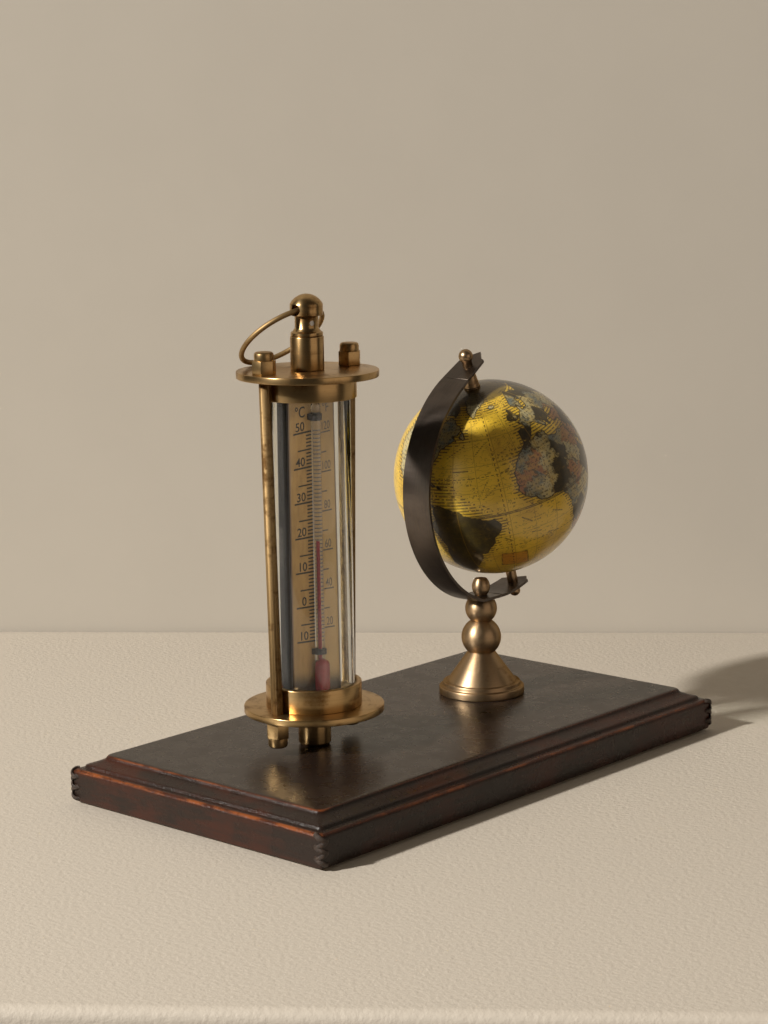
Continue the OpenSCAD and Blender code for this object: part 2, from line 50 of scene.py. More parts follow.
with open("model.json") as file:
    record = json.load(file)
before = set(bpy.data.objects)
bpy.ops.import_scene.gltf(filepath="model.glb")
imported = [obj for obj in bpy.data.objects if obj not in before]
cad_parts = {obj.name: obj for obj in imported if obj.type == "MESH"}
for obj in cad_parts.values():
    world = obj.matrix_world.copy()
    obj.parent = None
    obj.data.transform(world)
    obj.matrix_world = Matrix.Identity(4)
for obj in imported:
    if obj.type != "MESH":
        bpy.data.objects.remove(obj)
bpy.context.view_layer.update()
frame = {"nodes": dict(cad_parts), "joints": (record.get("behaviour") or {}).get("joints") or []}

MM = 0.001
TO_METRES = Matrix.Scale(MM, 4)


def node_box(node):
    """Lowest and highest corner of a CAD node, in millimetres."""
    low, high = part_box(node)
    return low / MM, high / MM


def node_centre(node):
    low, high = node_box(node)
    return (low + high) / 2


def node_radius(node):
    low, high = node_box(node)
    return (high.x - low.x) / 2


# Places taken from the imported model
LANTERN_AXIS = node_centre("lower_flange")
STAND_AXIS = node_centre("globe_foot")
GLOBE_CENTRE = node_centre("map_gores")
GLOBE_RADIUS = node_radius("map_gores")
AXLE = next(Vector(joint["axis"]).normalized() for joint in frame["joints"] if joint["name"] == "globe_spin")

# Turn of the lantern's pillars and scale about the upright, as in the part
LANTERN_TURN = math.radians(-6)

# Segments round the globe, which carry the map's distances
GLOBE_MERIDIANS = 360

# Longitude of the map that faces the camera at rest
FACING_LONGITUDE = math.radians(-35)

# The photograph's camera
CAMERA_AZIMUTH = math.radians(-48.146)
CAMERA_PITCH = math.radians(10.24)
CAMERA_ROLL = math.radians(-0.841)
CAMERA_PLACE = Vector((-0.66399, -0.58533, 0.25776))
CAMERA_LENS = 112.906

# Moulding of the base, in millimetres: how far its step is below the top, and the radii of its edges
STEP_DROP = 4.65
STEP_EDGE = 1.8
RIM_INSET = 8.2
RIM_EDGE = 1.2
COVE_RADIUS = 20
MOULDING_WIDTH = 9

# Even cuts along the base's long and short sides, which the leather's waves bend
LONG_CUTS = 74
SHORT_CUTS = 40

# Share of the wear on the two long sides
LONG_SIDE_WEAR = 0.62

# Lacing of the corners, in millimetres, with its slant in degrees and its thickness beside its width
LACING_IN = 1.7
LACING_REACH = 2.3
LACING_SWEEP = math.radians(200)
LACING_SLANT = 34
LACING_THICKNESS = 0.56
LACING_LEVELS = (3.3, 5.3, 7.3, 9.3, 11.3)

# Turned parts of the lantern, in millimetres: the radius of the bore through each
BORES = {
    "lantern_foot": 2.55,
    "lower_flange": 2.55,
    "upper_flange": 2.05,
    "lower_collar": 2.5,
    "upper_collar": 2.0,
    "finial_post": 2.0,
}
FOOT_BEVEL = 0.9
COLLAR_WALL = 2.35
COLLAR_FLOOR = 2.5
POST_EDGE = 0.35

# Cap nuts, in millimetres
NUT_ACROSS = 7.6
NUT_EDGE = 0.2
NUT_DRUM = 3.5
DRUM_EDGE = 1.1
TOP_HEX = 5.1
BOTTOM_HEX = 6.1

# Scale plate, block, glass and tube, in millimetres: the plate's two faces are in front of the
# lantern's axis by the first two, and the block's back is behind it by the third
PLATE_FRONT = 2.0
PLATE_BACK = 1.2
BLOCK_BACK = 4.2
PLATE_WIDTH = 22.4
PLATE_EDGE = 0.15
MARK_PROUD = 0.03
GLASS_WALL = 1.4
GLASS_EDGE = 0.2
TUBE_GAP = 0.1
STEM_RADIUS = 1.75
STEM_BOTTOM = 44
BORE_RADIUS = 0.45
BULB_RADIUS = 2.7
BULB_WALL = 0.5
BULB_TOP = 51.7

# Heights of the scales' degrees, in millimetres
CELSIUS_ZERO = 70.2
CELSIUS_STEP = 1.245
FAHRENHEIT_STEP = CELSIUS_STEP / 1.8

# Ends of the scales' lines along the plate, in millimetres from its middle
TEN_DEGREES = (-8.9, 0.2)
FIVE_DEGREES = (-7.0, -3.0)
ONE_DEGREE = (-3.1, 0.3)
FAHRENHEIT_FIGURED = (4.0, 8.8)
FAHRENHEIT_PLAIN = (4.0, 6.6)
FAHRENHEIT_TICK = (1.15, 1.75)
HEADING_BASE = 137.9

# Height of a figure beside the size that its letters are set in
FIGURE_SHARE = 0.72

# Globe stand, in millimetres
TIE_ROD_BORE = 2.0
FOOT_SHOULDER = 3.05
FOOT_BEAD = 1.5
CONE_RADII = (13.8, 5.3)
BALL_CENTRES = {"large_ball": 40.0, "small_ball": 51.5}
BARREL_CURVE = 5.0


def heading(turn, rise, length=1.0):
    """A vector that points a turn round from +X and a rise above the level."""
    level = math.cos(rise) * length
    return Vector((math.cos(turn) * level, math.sin(turn) * level, math.sin(rise) * length))


# From the stand towards the camera, across its picture to the right, and away from it on the level
TO_CAMERA = heading(CAMERA_AZIMUTH - math.pi / 2, CAMERA_PITCH)
ALONG = heading(CAMERA_AZIMUTH, 0)
AWAY = heading(CAMERA_AZIMUTH + math.pi / 2, 0)

# The wall's foot, where it meets the table, with the wall's ends and levels from there, in metres
WALL_FOOT = Matrix.Translation((0.050, 0.302, 0)) @ Matrix.Rotation(math.radians(-52.19), 4, "Z")
WALL_ENDS = (-0.3, 1.8)
WALL_LEVELS = (-0.6, 2.4)
TABLE_SIZE = (0.9, 0.471, 0.04)
TABLE_EDGE = 0.004

# Lamps: place, the point that each is turned to, its size, its power and its colour
LAMPS = {
    "key": (
        heading(math.radians(162), math.radians(31), 4.5), (0, 0, 0.08), (0.28, 0.28), 315,
        (1.0, 0.955, 0.89),
    ),
    "side": (
        ALONG * 0.80 - AWAY * 0.72 + Vector((0, 0, 0.30)), (0, 0, 0.10), (1.0, 0.8), 1.5,
        (1.0, 0.80, 0.62),
    ),
}

# The pale room, and how bright it is where it lights a matt surface and to each other kind of ray
ROOM = (0.50, 0.45, 0.385, 1)
LIT_ROOM = 0.12
ROOM_TO_RAYS = {"Is Camera Ray": 1.0, "Is Transmission Ray": 1.0, "Is Glossy Ray": 0.07}


# Adjustable sizes and colours


def colour_property(label, description, default):
    return bpy.props.FloatVectorProperty(
        name=label, description=description, default=default, size=3, min=0, max=1, subtype="COLOR"
    )


def length_property(label, description, default):
    return bpy.props.FloatProperty(
        name=label, description=description, default=default, min=0, unit="LENGTH", subtype="DISTANCE"
    )


class StandSizes(bpy.types.PropertyGroup):
    """Small sizes that only the finish uses."""

    edge_break: length_property("Edge break", "Rounding of turned edges", 0.25 * MM)
    leather_wave: length_property("Leather waves", "Depth of the leather's unevenness", 0.12 * MM)
    side_corner: length_property("Side corner", "Corner radius at the sides", 1.3 * MM)
    rim_corner: length_property("Rim corner", "Corner radius at the raised rim", 2.4 * MM)
    line_width: length_property("Scale lines", "Width of the scale's lines", 0.5 * MM)
    thong_width: length_property("Thong", "Width of the lacing", 1.9 * MM)


class StandColours(bpy.types.PropertyGroup):
    """Colours of the finishes."""

    leather: colour_property("Leather", "Dark leather", (0.017, 0.0105, 0.0078))
    leather_red: colour_property("Leather, red", "Redder patches", (0.040, 0.0120, 0.0065))
    leather_worn: colour_property("Leather, worn", "Rubbed edges", (0.200, 0.055, 0.013))
    brass: colour_property("Brass", "Clean brass", (0.500, 0.340, 0.160))
    brass_aged: colour_property("Brass, aged", "Tarnished brass", (0.220, 0.120, 0.045))
    bronze: colour_property("Bronze", "Darkened bronze", (0.135, 0.112, 0.096))
    stand_brass: colour_property("Globe stand", "Satin brass of the globe's stand", (0.400, 0.280, 0.165))
    stand_brass_aged: colour_property("Globe stand, aged", "Its tarnish", (0.200, 0.125, 0.065))
    bronze_lines: colour_property("Bronze, brushed", "Brushed lines", (0.190, 0.140, 0.100))
    steel: colour_property("Steel", "Plain steel", (0.42, 0.40, 0.38))
    steel_dulled: colour_property("Steel, dulled", "Dulled steel", (0.20, 0.19, 0.18))
    thong: colour_property("Thong", "Leather of the corner lacing", (0.052, 0.030, 0.019))
    clip: colour_property("Clips", "Dark clips on the tube", (0.012, 0.011, 0.014))
    plate: colour_property("Plate", "Scale plate", (0.380, 0.230, 0.074))
    plate_rim: colour_property("Plate's edge", "Brown edge of the plate", (0.160, 0.110, 0.075))
    plate_grey: colour_property("Plate, dulled", "Greyer right half of the plate", (0.370, 0.262, 0.132))
    ink: colour_property("Ink", "Dark marks", (0.014, 0.010, 0.008))
    faint_ink: colour_property("Faint ink", "Grey marks", (0.090, 0.078, 0.070))
    block: colour_property("Block", "Block behind the plate", (0.003, 0.003, 0.0035))
    spirit: colour_property("Spirit", "Red spirit", (0.300, 0.006, 0.012))
    sea: colour_property("Sea", "Map ground", (0.720, 0.470, 0.036))
    sea_aged: colour_property("Sea, aged", "Browned map ground", (0.430, 0.245, 0.018))
    land_dark: colour_property("Land, dark", "Olive land", (0.030, 0.022, 0.006))
    land_pale: colour_property("Land, pale", "Pale land", (0.400, 0.360, 0.205))
    land_blue: colour_property("Land, grey-blue", "Grey-blue land", (0.125, 0.150, 0.130))
    land_rust: colour_property("Land, rust", "Rust land", (0.290, 0.110, 0.040))
    box: colour_property("Plain box", "Orange box in the sea", (0.480, 0.170, 0.015))
    map_ink: colour_property("Map ink", "Printed lines", (0.030, 0.020, 0.007))
    felt: colour_property("Felt", "Felt under the base", (0.020, 0.050, 0.028))
    table: colour_property("Table", "Floor", (0.560, 0.503, 0.425))
    wall: colour_property("Wall", "Backdrop", (0.430, 0.393, 0.338))


def sizes():
    return bpy.context.scene.stand_sizes


def colours():
    return bpy.context.scene.stand_colours


# Materials


# Tint of the metals at grazing angles
PALE_EDGE = (1.0, 0.93, 0.84)
DULL_EDGE = (0.50, 0.42, 0.32)

# How bright the drawn wire of the rods and the ring is beside turned brass
WIRE_SHARE = 0.68

# Colours of the hidden parts
BARE_WOOD = (0.30, 0.18, 0.09)
PRESSED_PULP = (0.50, 0.45, 0.34)
RUBBER = (0.02, 0.02, 0.02)


class Shader:
    """A material that is built node by node."""

    def __init__(self, name):
        self.material = bpy.data.materials.new(name)
        self.material.use_nodes = True
        self.tree = self.material.node_tree
        self.tree.nodes.clear()
        self.output = self.tree.nodes.new("ShaderNodeOutputMaterial")

    def node(self, kind, inputs=None, **settings):
        made = self.tree.nodes.new(kind)
        for key, value in settings.items():
            setattr(made, key, value)
        for key, value in (inputs or {}).items():
            self.put(made.inputs[key], value)
        return made

    def put(self, socket, value):
        if isinstance(value, bpy.types.NodeSocket):
            self.tree.links.new(value, socket)
        elif hasattr(value, "__len__") and socket.type == "RGBA" and len(value) == 3:
            socket.default_value = (*value, 1)
        else:
            socket.default_value = value

    def math(self, operation, first, second=0.0):
        return self.node("ShaderNodeMath", {0: first, 1: second}, operation=operation).outputs[0]

    def plus(self, first, second):
        return self.math("ADD", first, second)

    def minus(self, first, second):
        return self.math("SUBTRACT", first, second)

    def times(self, first, second):
        return self.math("MULTIPLY", first, second)

    def away(self, value, middle=0.0):
        """How far a value is from a middle one, on either side."""
        return self.math("ABSOLUTE", self.minus(value, middle) if middle else value)

    def highest(self, *values):
        top = values[0]
        for value in values[1:]:
            top = self.math("MAXIMUM", top, value)
        return top

    def ramp(self, value, low, high, start=0.0, end=1.0):
        """A smooth step from start to end as value goes from low to high."""
        inputs = {"Value": value, "From Min": low, "From Max": high, "To Min": start, "To Max": end}
        return self.node("ShaderNodeMapRange", inputs, interpolation_type="SMOOTHSTEP").outputs[0]

    def mix(self, factor, first, second):
        """A blend of two colours, which are inputs 6 and 7 of the mixing node."""
        inputs = {0: factor, 6: first, 7: second}
        return self.node("ShaderNodeMix", inputs, data_type="RGBA").outputs[2]

    def coordinates(self, centre=(0, 0, 0), scale=(1, 1, 1)):
        """Object coordinates in millimetres about a centre that is given in millimetres."""
        place = self.node("ShaderNodeTexCoord").outputs["Object"]
        shift = tuple(-middle * part for middle, part in zip(centre, scale))
        inputs = {"Vector": place, "Location": shift, "Scale": tuple(part / MM for part in scale)}
        return self.node("ShaderNodeMapping", inputs).outputs[0]

    def noise(self, vector, scale, detail=3.0, roughness=0.55):
        inputs = {"Vector": vector, "Scale": scale, "Detail": detail, "Roughness": roughness}
        return self.node("ShaderNodeTexNoise", inputs).outputs["Fac"]

    def split(self, vector):
        return self.node("ShaderNodeSeparateXYZ", {"Vector": vector}).outputs

    def join(self, x, y, z):
        return self.node("ShaderNodeCombineXYZ", {"X": x, "Y": y, "Z": z}).outputs[0]

    def attribute(self, name):
        return self.node("ShaderNodeAttribute", attribute_name=name).outputs["Fac"]

    def bump(self, height, strength, distance):
        inputs = {"Height": height, "Strength": strength, "Distance": distance}
        return self.node("ShaderNodeBump", inputs).outputs[0]

    def end_with(self, shader_node):
        self.tree.links.new(shader_node.outputs[0], self.output.inputs[0])
        return self.material

    def finish(self, inputs):
        """Ends the material with one main shader."""
        return self.end_with(self.node("ShaderNodeBsdfPrincipled", inputs))

    def finish_either(self, choice, first, second):
        """Ends the material with the first of two shaders where choice is 0, and the second where it is 1."""
        inputs = {0: choice, 1: first.outputs[0], 2: second.outputs[0]}
        return self.end_with(self.node("ShaderNodeMixShader", inputs))


def shaded(tone, share):
    """A colour at a share of its brightness."""
    return tuple(part * share for part in tone)


def leather_material(name):
    """Dark waxed leather, redder in patches on its sides and rubbed where the wear attribute says so."""
    shader = Shader(name)
    tones = colours()
    place = shader.coordinates()
    patches = shader.noise(place, 0.03, 4.0, 0.6)
    streaks = shader.noise(shader.coordinates(scale=(0.3, 0.3, 2.5)), 0.25, 4.0, 0.6)
    red = shader.ramp(shader.plus(patches, shader.times(streaks, 0.45)), 0.62, 0.9)
    sides = shader.attribute("upright")
    ground = shader.mix(shader.times(red, sides), tones.leather, tones.leather_red)
    wear = shader.attribute("wear")
    scuffs = shader.noise(place, 0.14, 4.0, 0.65)
    uneven = shader.plus(streaks, shader.times(scuffs, 0.8))
    broken = shader.ramp(uneven, 0.80, 1.04, 0.05, 1.0)
    rubbed = shader.times(shader.ramp(wear, 0.25, 1.0), broken)
    warm = shader.mix(shader.ramp(wear, 0.1, 0.7), ground, tones.leather_red)
    colour = shader.mix(rubbed, warm, tones.leather_worn)
    grain = shader.node(
        "ShaderNodeTexVoronoi",
        {"Vector": place, "Scale": 1.6, "Randomness": 0.9},
        feature="DISTANCE_TO_EDGE",
    ).outputs["Distance"]
    pores = shader.ramp(grain, 0.0, 0.22)
    creases = shader.noise(place, 0.16, 6.0, 0.65)
    height = shader.plus(shader.times(pores, 0.3), creases)
    height = shader.times(height, shader.ramp(sides, 0.0, 1.0, 0.12, 1.0))
    inputs = {
        "Base Color": colour,
        "Roughness": shader.ramp(shader.noise(place, 0.12, 3.0), 0.3, 0.75, 0.25, 0.32),
        "Normal": shader.bump(height, 0.4, 0.22 * MM),
        "Specular IOR Level": 0.3,
    }
    return shader.finish(inputs)


def metal_material(name, centre, clean, aged, roughness, age, turned=False, edge=DULL_EDGE):
    """Aged metal with tarnish in clouds. Turned metal has fine rings round an upright axis."""
    shader = Shader(name)
    place = shader.coordinates(centre)
    parts = shader.split(place)
    squares = [shader.math("POWER", parts[axis], 2.0) for axis in (0, 1)]
    radius = shader.math("SQRT", shader.plus(*squares))
    angle = shader.math("ARCTAN2", parts[1], parts[0])
    around = shader.join(radius, parts[2], shader.times(angle, 0.15)) if turned else place
    lines = shader.noise(around, 4.5 if turned else 1.5, 2.0)
    broad = shader.noise(around, 0.6, 2.0)
    clouds = shader.noise(place, 0.11, 5.0, 0.62)
    spots = shader.ramp(shader.noise(place, 0.8, 3.0, 0.7), 0.64, 0.76)
    cloudy = shader.plus(clouds, shader.times(broad, 0.3))
    tarnish = shader.ramp(cloudy, 0.78 - 0.3 * age, 1.02 - 0.3 * age)
    tone = shader.highest(tarnish, shader.times(spots, 0.35))
    colour = shader.mix(tone, clean, aged)
    streaked = shader.mix(shader.ramp(lines, 0.3, 0.7, 0.0, 0.16), colour, aged)
    rough = shader.ramp(tone, 0.0, 1.0, roughness, roughness + 0.12)
    inputs = {
        "Base Color": streaked,
        "Metallic": 1.0,
        "Specular Tint": (*edge, 1),
        "Roughness": rough,
        "Normal": shader.bump(lines, 0.05, 0.05 * MM),
    }
    if turned:
        tangent = shader.node("ShaderNodeTangent", direction_type="UV_MAP", uv_map="turned").outputs[0]
        inputs.update({"Anisotropic": 0.5, "Anisotropic Rotation": 0.25, "Tangent": tangent})
    return shader.finish(inputs)


def metal(name):
    """One of the stand's metals, made when it is first asked for."""
    tones = colours()
    lantern = (tones.brass, tones.brass_aged)
    dulled = [shaded(tone, WIRE_SHARE) for tone in lantern]
    stand = (tones.stand_brass, tones.stand_brass_aged)
    # Centre, clean and aged colours, roughness, age from 0 to 1, and then whether turned, and the edge
    finishes = {
        "lantern_brass": (LANTERN_AXIS, *lantern, 0.28, 0.5, True, PALE_EDGE),
        "nut_brass": (LANTERN_AXIS, *lantern, 0.32, 0.5, False, PALE_EDGE),
        "wire_brass": (LANTERN_AXIS, *dulled, 0.58, 0.5, False, PALE_EDGE),
        "stand_brass": (STAND_AXIS, *stand, 0.40, 0.4, True),
        "pivot_brass": (GLOBE_CENTRE, *stand, 0.33, 0.4),
        "plain_steel": (STAND_AXIS, tones.steel, tones.steel_dulled, 0.3, 0.4),
    }
    return bpy.data.materials.get(name) or metal_material(name, *finishes[name])


def glass_material(name, tint, index):
    """Clear glass that lets the lamps' light through to what it covers."""
    shader = Shader(name)
    smears = shader.noise(shader.coordinates(scale=(1, 1, 0.3)), 0.25, 3.0)
    main = shader.node(
        "ShaderNodeBsdfPrincipled",
        {
            "Base Color": tint,
            "Roughness": shader.ramp(smears, 0.5, 0.8, 0.0, 0.03),
            "Transmission Weight": 1.0,
            "IOR": index,
        },
    )
    clear = shader.node("ShaderNodeBsdfTransparent", {"Color": tint})
    shadow = shader.node("ShaderNodeLightPath").outputs["Is Shadow Ray"]
    return shader.finish_either(shadow, main, clear)


def plain_material(name, colour, roughness, scale=0.6, change=0.25, bump=0.1, inputs=None, depth=0.1):
    """A matt or satin surface with a mottled tone and a fine unevenness."""
    shader = Shader(name)
    place = shader.coordinates()
    mottle = shader.noise(place, scale, 4.0, 0.6)
    settings = {
        "Base Color": shader.mix(shader.ramp(mottle, 0.3, 0.7), colour, shaded(colour, 1 - change)),
        "Roughness": shader.ramp(mottle, 0.3, 0.7, roughness, min(1.0, roughness + 0.12)),
        "Normal": shader.bump(shader.noise(place, scale * 4, 3.0), bump, depth * MM),
    }
    settings.update(inputs or {})
    return shader.finish(settings)


# Shapes


def add_turned_uv(mesh, places):
    """A map whose u runs round the nearest of the axes and whose v runs along it."""
    count = len(mesh.vertices)
    points = np.ones((count, 4))
    flat = np.empty(count * 3)
    mesh.vertices.foreach_get("co", flat)
    points[:, :3] = flat.reshape(-1, 3) / MM
    local = np.stack([points @ np.array(place.inverted()).T for place in places])
    nearest = np.argmin(np.hypot(local[:, :, 0], local[:, :, 1]), axis=0)
    local = local[nearest, np.arange(count)]
    turns = np.arctan2(local[:, 1], local[:, 0]) / math.tau
    corners = np.empty(len(mesh.loops), int)
    mesh.loops.foreach_get("vertex_index", corners)
    sides = np.empty(len(mesh.polygons), int)
    mesh.polygons.foreach_get("loop_total", sides)
    starts = np.concatenate([[0], np.cumsum(sides)[:-1]])
    u = turns[corners]
    span = np.maximum.reduceat(u, starts) - np.minimum.reduceat(u, starts)
    crosses = np.repeat(span > 0.5, sides)
    u = np.where(crosses & (u < 0), u + 1, u)
    v = local[corners, 2] / 10
    layer = mesh.uv_layers.new(name="turned")
    layer.data.foreach_set("uv", np.stack([u, v], -1).ravel())


def new_object(bm, name, material, sharp):
    """An object from a bmesh. Edges that turn by more than sharp degrees stay sharp."""
    mesh = bpy.data.meshes.new(name)
    bm.to_mesh(mesh)
    bm.free()
    mesh.shade_smooth()
    mesh.set_sharp_from_angle(angle=math.radians(sharp))
    mesh.materials.append(material)
    made = bpy.data.objects.new(name, mesh)
    bpy.context.scene.collection.objects.link(made)
    return made


def make_piece(bm, name, body, material, nodes=(), sharp=32.0, recalculate=True, axes=()):
    """Turns a bmesh in metres into a finished piece that rides on a body."""
    bmesh.ops.remove_doubles(bm, verts=bm.verts, dist=2e-7)
    if recalculate:
        bmesh.ops.recalc_face_normals(bm, faces=bm.faces)
    piece = new_object(bm, name, material, sharp)
    if axes:
        add_turned_uv(piece.data, axes)
    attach(piece, body)
    if nodes:
        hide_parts(*nodes)
    return piece


def give_material(material, *nodes):
    """Puts a material on CAD nodes that stay as they are."""
    for node in nodes:
        data = frame["nodes"][node].data
        data.materials.clear()
        data.materials.append(material)


def add_box(bm, middle, size):
    place = Matrix.Translation(middle) @ Matrix.Diagonal((*size, 1))
    bmesh.ops.create_cube(bm, size=1, matrix=place)


def round_off(bm, parts, offset, segments, affect="EDGES"):
    """Rounds edges, or the corners of an outline."""
    bmesh.ops.bevel(
        bm, geom=parts, offset=offset, offset_type="OFFSET", segments=segments, profile=0.5,
        affect=affect, material=-1,
    )


def arc(across, along, radius, start, end, steps):
    """Points of a round section about a centre, from one angle to another in degrees."""
    turns = [math.radians(start + (end - start) * step / steps) for step in range(steps + 1)]
    return [(across + radius * math.cos(turn), along + radius * math.sin(turn)) for turn in turns]


def spin_outline(bm, outline, place, soften=None, steps=144):
    """Spins a closed outline of (radius, height) points about +Z and puts it in place, in millimetres.

    Its corners are rounded by soften, or by the usual edge break, except on the axis."""
    soften = sizes().edge_break / MM if soften is None else soften
    before = set(bm.verts)
    points = [bm.verts.new((radius, 0, height)) for radius, height in outline]
    for first, second in zip(points[-1:] + points[:-1], points):
        bm.edges.new((first, second))
    corners = [vert for vert in points if vert.co.x > 1e-6]
    if soften > 0:
        round_off(bm, corners, soften, 3, "VERTICES")
    verts = [vert for vert in bm.verts if vert not in before]
    edges = list(dict.fromkeys(edge for vert in verts for edge in vert.link_edges))
    bmesh.ops.spin(
        bm, geom=verts + edges, cent=(0, 0, 0), axis=(0, 0, 1), dvec=(0, 0, 0), angle=math.tau,
        steps=steps, use_merge=True, use_duplicate=False,
    )
    made = [vert for vert in bm.verts if vert not in before]
    bmesh.ops.transform(bm, matrix=TO_METRES @ place, verts=made)


def upright(axis, turn=0.0):
    """The place of an upright axis, turned about itself."""
    return Matrix.Translation((axis.x, axis.y, 0)) @ Matrix.Rotation(turn, 4, "Z")


def ring_outline(inner, outer, low, high):
    return [(inner, low), (outer, low), (outer, high), (inner, high)]


def turned_piece(name, material, node, outline, place, soften=None, steps=144):
    """A turned part of the stand in place of a CAD node."""
    bm = bmesh.new()
    spin_outline(bm, outline, place, soften, steps)
    return make_piece(bm, name, "stand", material, (node,), axes=(place,))


def copied_piece(node, name, body, material, sharp=28.0, axes=()):
    """A CAD node's own shape, joined and smooth shaded."""
    bm = bmesh.new()
    bm.from_mesh(frame["nodes"][node].data)
    bmesh.ops.remove_doubles(bm, verts=bm.verts, dist=1e-6)
    return make_piece(bm, name, body, material, (node,), sharp, False, axes)


# Base


def worn_edge(inset, height, radius, least, most):
    """Five points round an edge, up from its upright side to its flat top, most worn in the middle."""
    points = []
    for step in range(1, 6):
        turn = math.radians(15 * step)
        wear = least + most * math.sin(2 * turn) ** 3
        points.append((inset + radius * (1 - math.cos(turn)), height - radius * (1 - math.sin(turn)), wear))
    return points


def moulding_profile():
    """Points of the moulding: distance in from the side, height, and wear from 0 to 1."""
    low, high = node_box("leather_cover")
    top = high.z
    step = top - STEP_DROP
    points = [(0.9, low.z, 0.1), (0.25, low.z + 0.35, 0.3), (0.0, low.z + 1.2, 0.25)]
    points += [(0.0, low.z + 3.5, 0.0), (0.0, step - 4.5, 0.0), (0.0, step - STEP_EDGE, 0.25)]
    points += worn_edge(0, step, STEP_EDGE, 0.2, 0.8)
    points += [(STEP_EDGE, step, 0.2), (2.5, step, 0.1), (2.85, step + 0.2, 0.0)]
    points += [(3.0, step + 0.75, 0.1), (3.15, step + 1.15, 0.2)]
    for inset in (4.0, 5.0, 6.0, 7.0, 7.8):
        cove = COVE_RADIUS + 0.6 - math.sqrt(COVE_RADIUS**2 - (inset + 1.9) ** 2)
        points.append((inset, step + cove, 0.1))
    points += [(8.15, top - 1.05, 0.2)]
    points += worn_edge(RIM_INSET, top, RIM_EDGE, 0.1, 0.55)
    points += [(9.4, top, 0.1), (10.6, top, 0.0), (13.0, top, 0.0)]
    return points


def append(bm, part):
    """Adds one bmesh to another and frees it."""
    mesh = bpy.data.meshes.new("part")
    part.to_mesh(mesh)
    part.free()
    bm.from_mesh(mesh)
    bpy.data.meshes.remove(mesh)


def add_rounded_ring(bm, length, width, radius, height):
    """Adds the edges of a rectangle with rounded corners and evenly cut sides, and returns them."""
    part = bmesh.new()
    place = Matrix.Translation((0, 0, height)) @ Matrix.Diagonal((length, width, 1, 1))
    bmesh.ops.create_grid(part, x_segments=1, y_segments=1, size=0.5, matrix=place)
    round_off(part, part.verts[:], radius, 4, "VERTICES")
    bmesh.ops.delete(part, geom=part.faces[:], context="FACES_ONLY")
    for cuts, along in ((LONG_CUTS, 0), (SHORT_CUTS, 1)):
        sides = [e for e in part.edges if abs(e.verts[0].co[along] - e.verts[1].co[along]) > width / 2]
        bmesh.ops.subdivide_edges(part, edges=sides, cuts=cuts)
    first = len(bm.edges)
    append(bm, part)
    bm.edges.ensure_lookup_table()
    return bm.edges[first:]


def leather_board():
    """The leather cover: rings of the moulding's profile, bridged, closed on top and made uneven."""
    low, high = node_box("leather_cover")
    length, width = high.x - low.x, high.y - low.y
    bm = bmesh.new()
    wear_layer = bm.verts.layers.float.new("wear")
    upright_layer = bm.verts.layers.float.new("upright")
    previous = None
    for inset, height, wear in moulding_profile():
        blend = min(1.0, inset / (MOULDING_WIDTH - 1))
        radius = (sizes().side_corner * (1 - blend) + sizes().rim_corner * blend) / MM
        ring = add_rounded_ring(bm, length - 2 * inset, width - 2 * inset, radius, height)
        for vert in {v for e in ring for v in e.verts}:
            front = abs(vert.co.y) / width > abs(vert.co.x) / length
            vert[wear_layer] = wear * (LONG_SIDE_WEAR if front else 1.0)
            vert[upright_layer] = 1.0 if inset < MOULDING_WIDTH else 0.0
        if previous:
            bmesh.ops.bridge_loops(bm, edges=previous + ring)
        previous = ring
    bmesh.ops.contextual_create(bm, geom=previous)
    wave = sizes().leather_wave / MM
    for vert in bm.verts:
        if vert.co.z > high.z - 0.01 or vert.co.z < low.z + 0.5:
            continue
        sway = noise.noise(vert.co * 0.09) * 0.6 + noise.noise(vert.co * 0.3) * 0.4
        axis = 0 if abs(vert.co.x) / length > abs(vert.co.y) / width else 1
        vert.co[axis] -= math.copysign(1, vert.co[axis]) * wave * (1 + sway)
        vert[wear_layer] = max(0.0, vert[wear_layer] * (1.15 + 0.5 * noise.noise(vert.co * 0.05)))
    bmesh.ops.transform(bm, matrix=TO_METRES, verts=bm.verts)
    material = leather_material("waxed_leather")
    return make_piece(bm, "leather_board", "stand", material, ("leather_cover",), 50)


def add_thong(bm, place, width):
    """One flat thong round a corner: a flat round section spun about the corner's upright."""
    part = bmesh.new()
    bmesh.ops.create_circle(part, cap_ends=True, segments=12, radius=1.0)
    shape = Matrix.Diagonal((width * LACING_THICKNESS / 2, width / 2, 1, 1))
    start = Matrix.Rotation(-LACING_SWEEP / 2, 4, "Z") @ Matrix.Translation((LACING_REACH, 0, 0))
    turn = start @ Matrix.Rotation(math.pi / 2, 4, "X") @ shape
    bmesh.ops.transform(part, matrix=turn, verts=part.verts)
    bmesh.ops.spin(
        part, geom=part.verts[:] + part.edges[:] + part.faces[:], cent=(0, 0, 0), axis=(0, 0, 1),
        angle=LACING_SWEEP, steps=18, use_merge=False,
    )
    bmesh.ops.transform(part, matrix=place, verts=part.verts)
    append(bm, part)


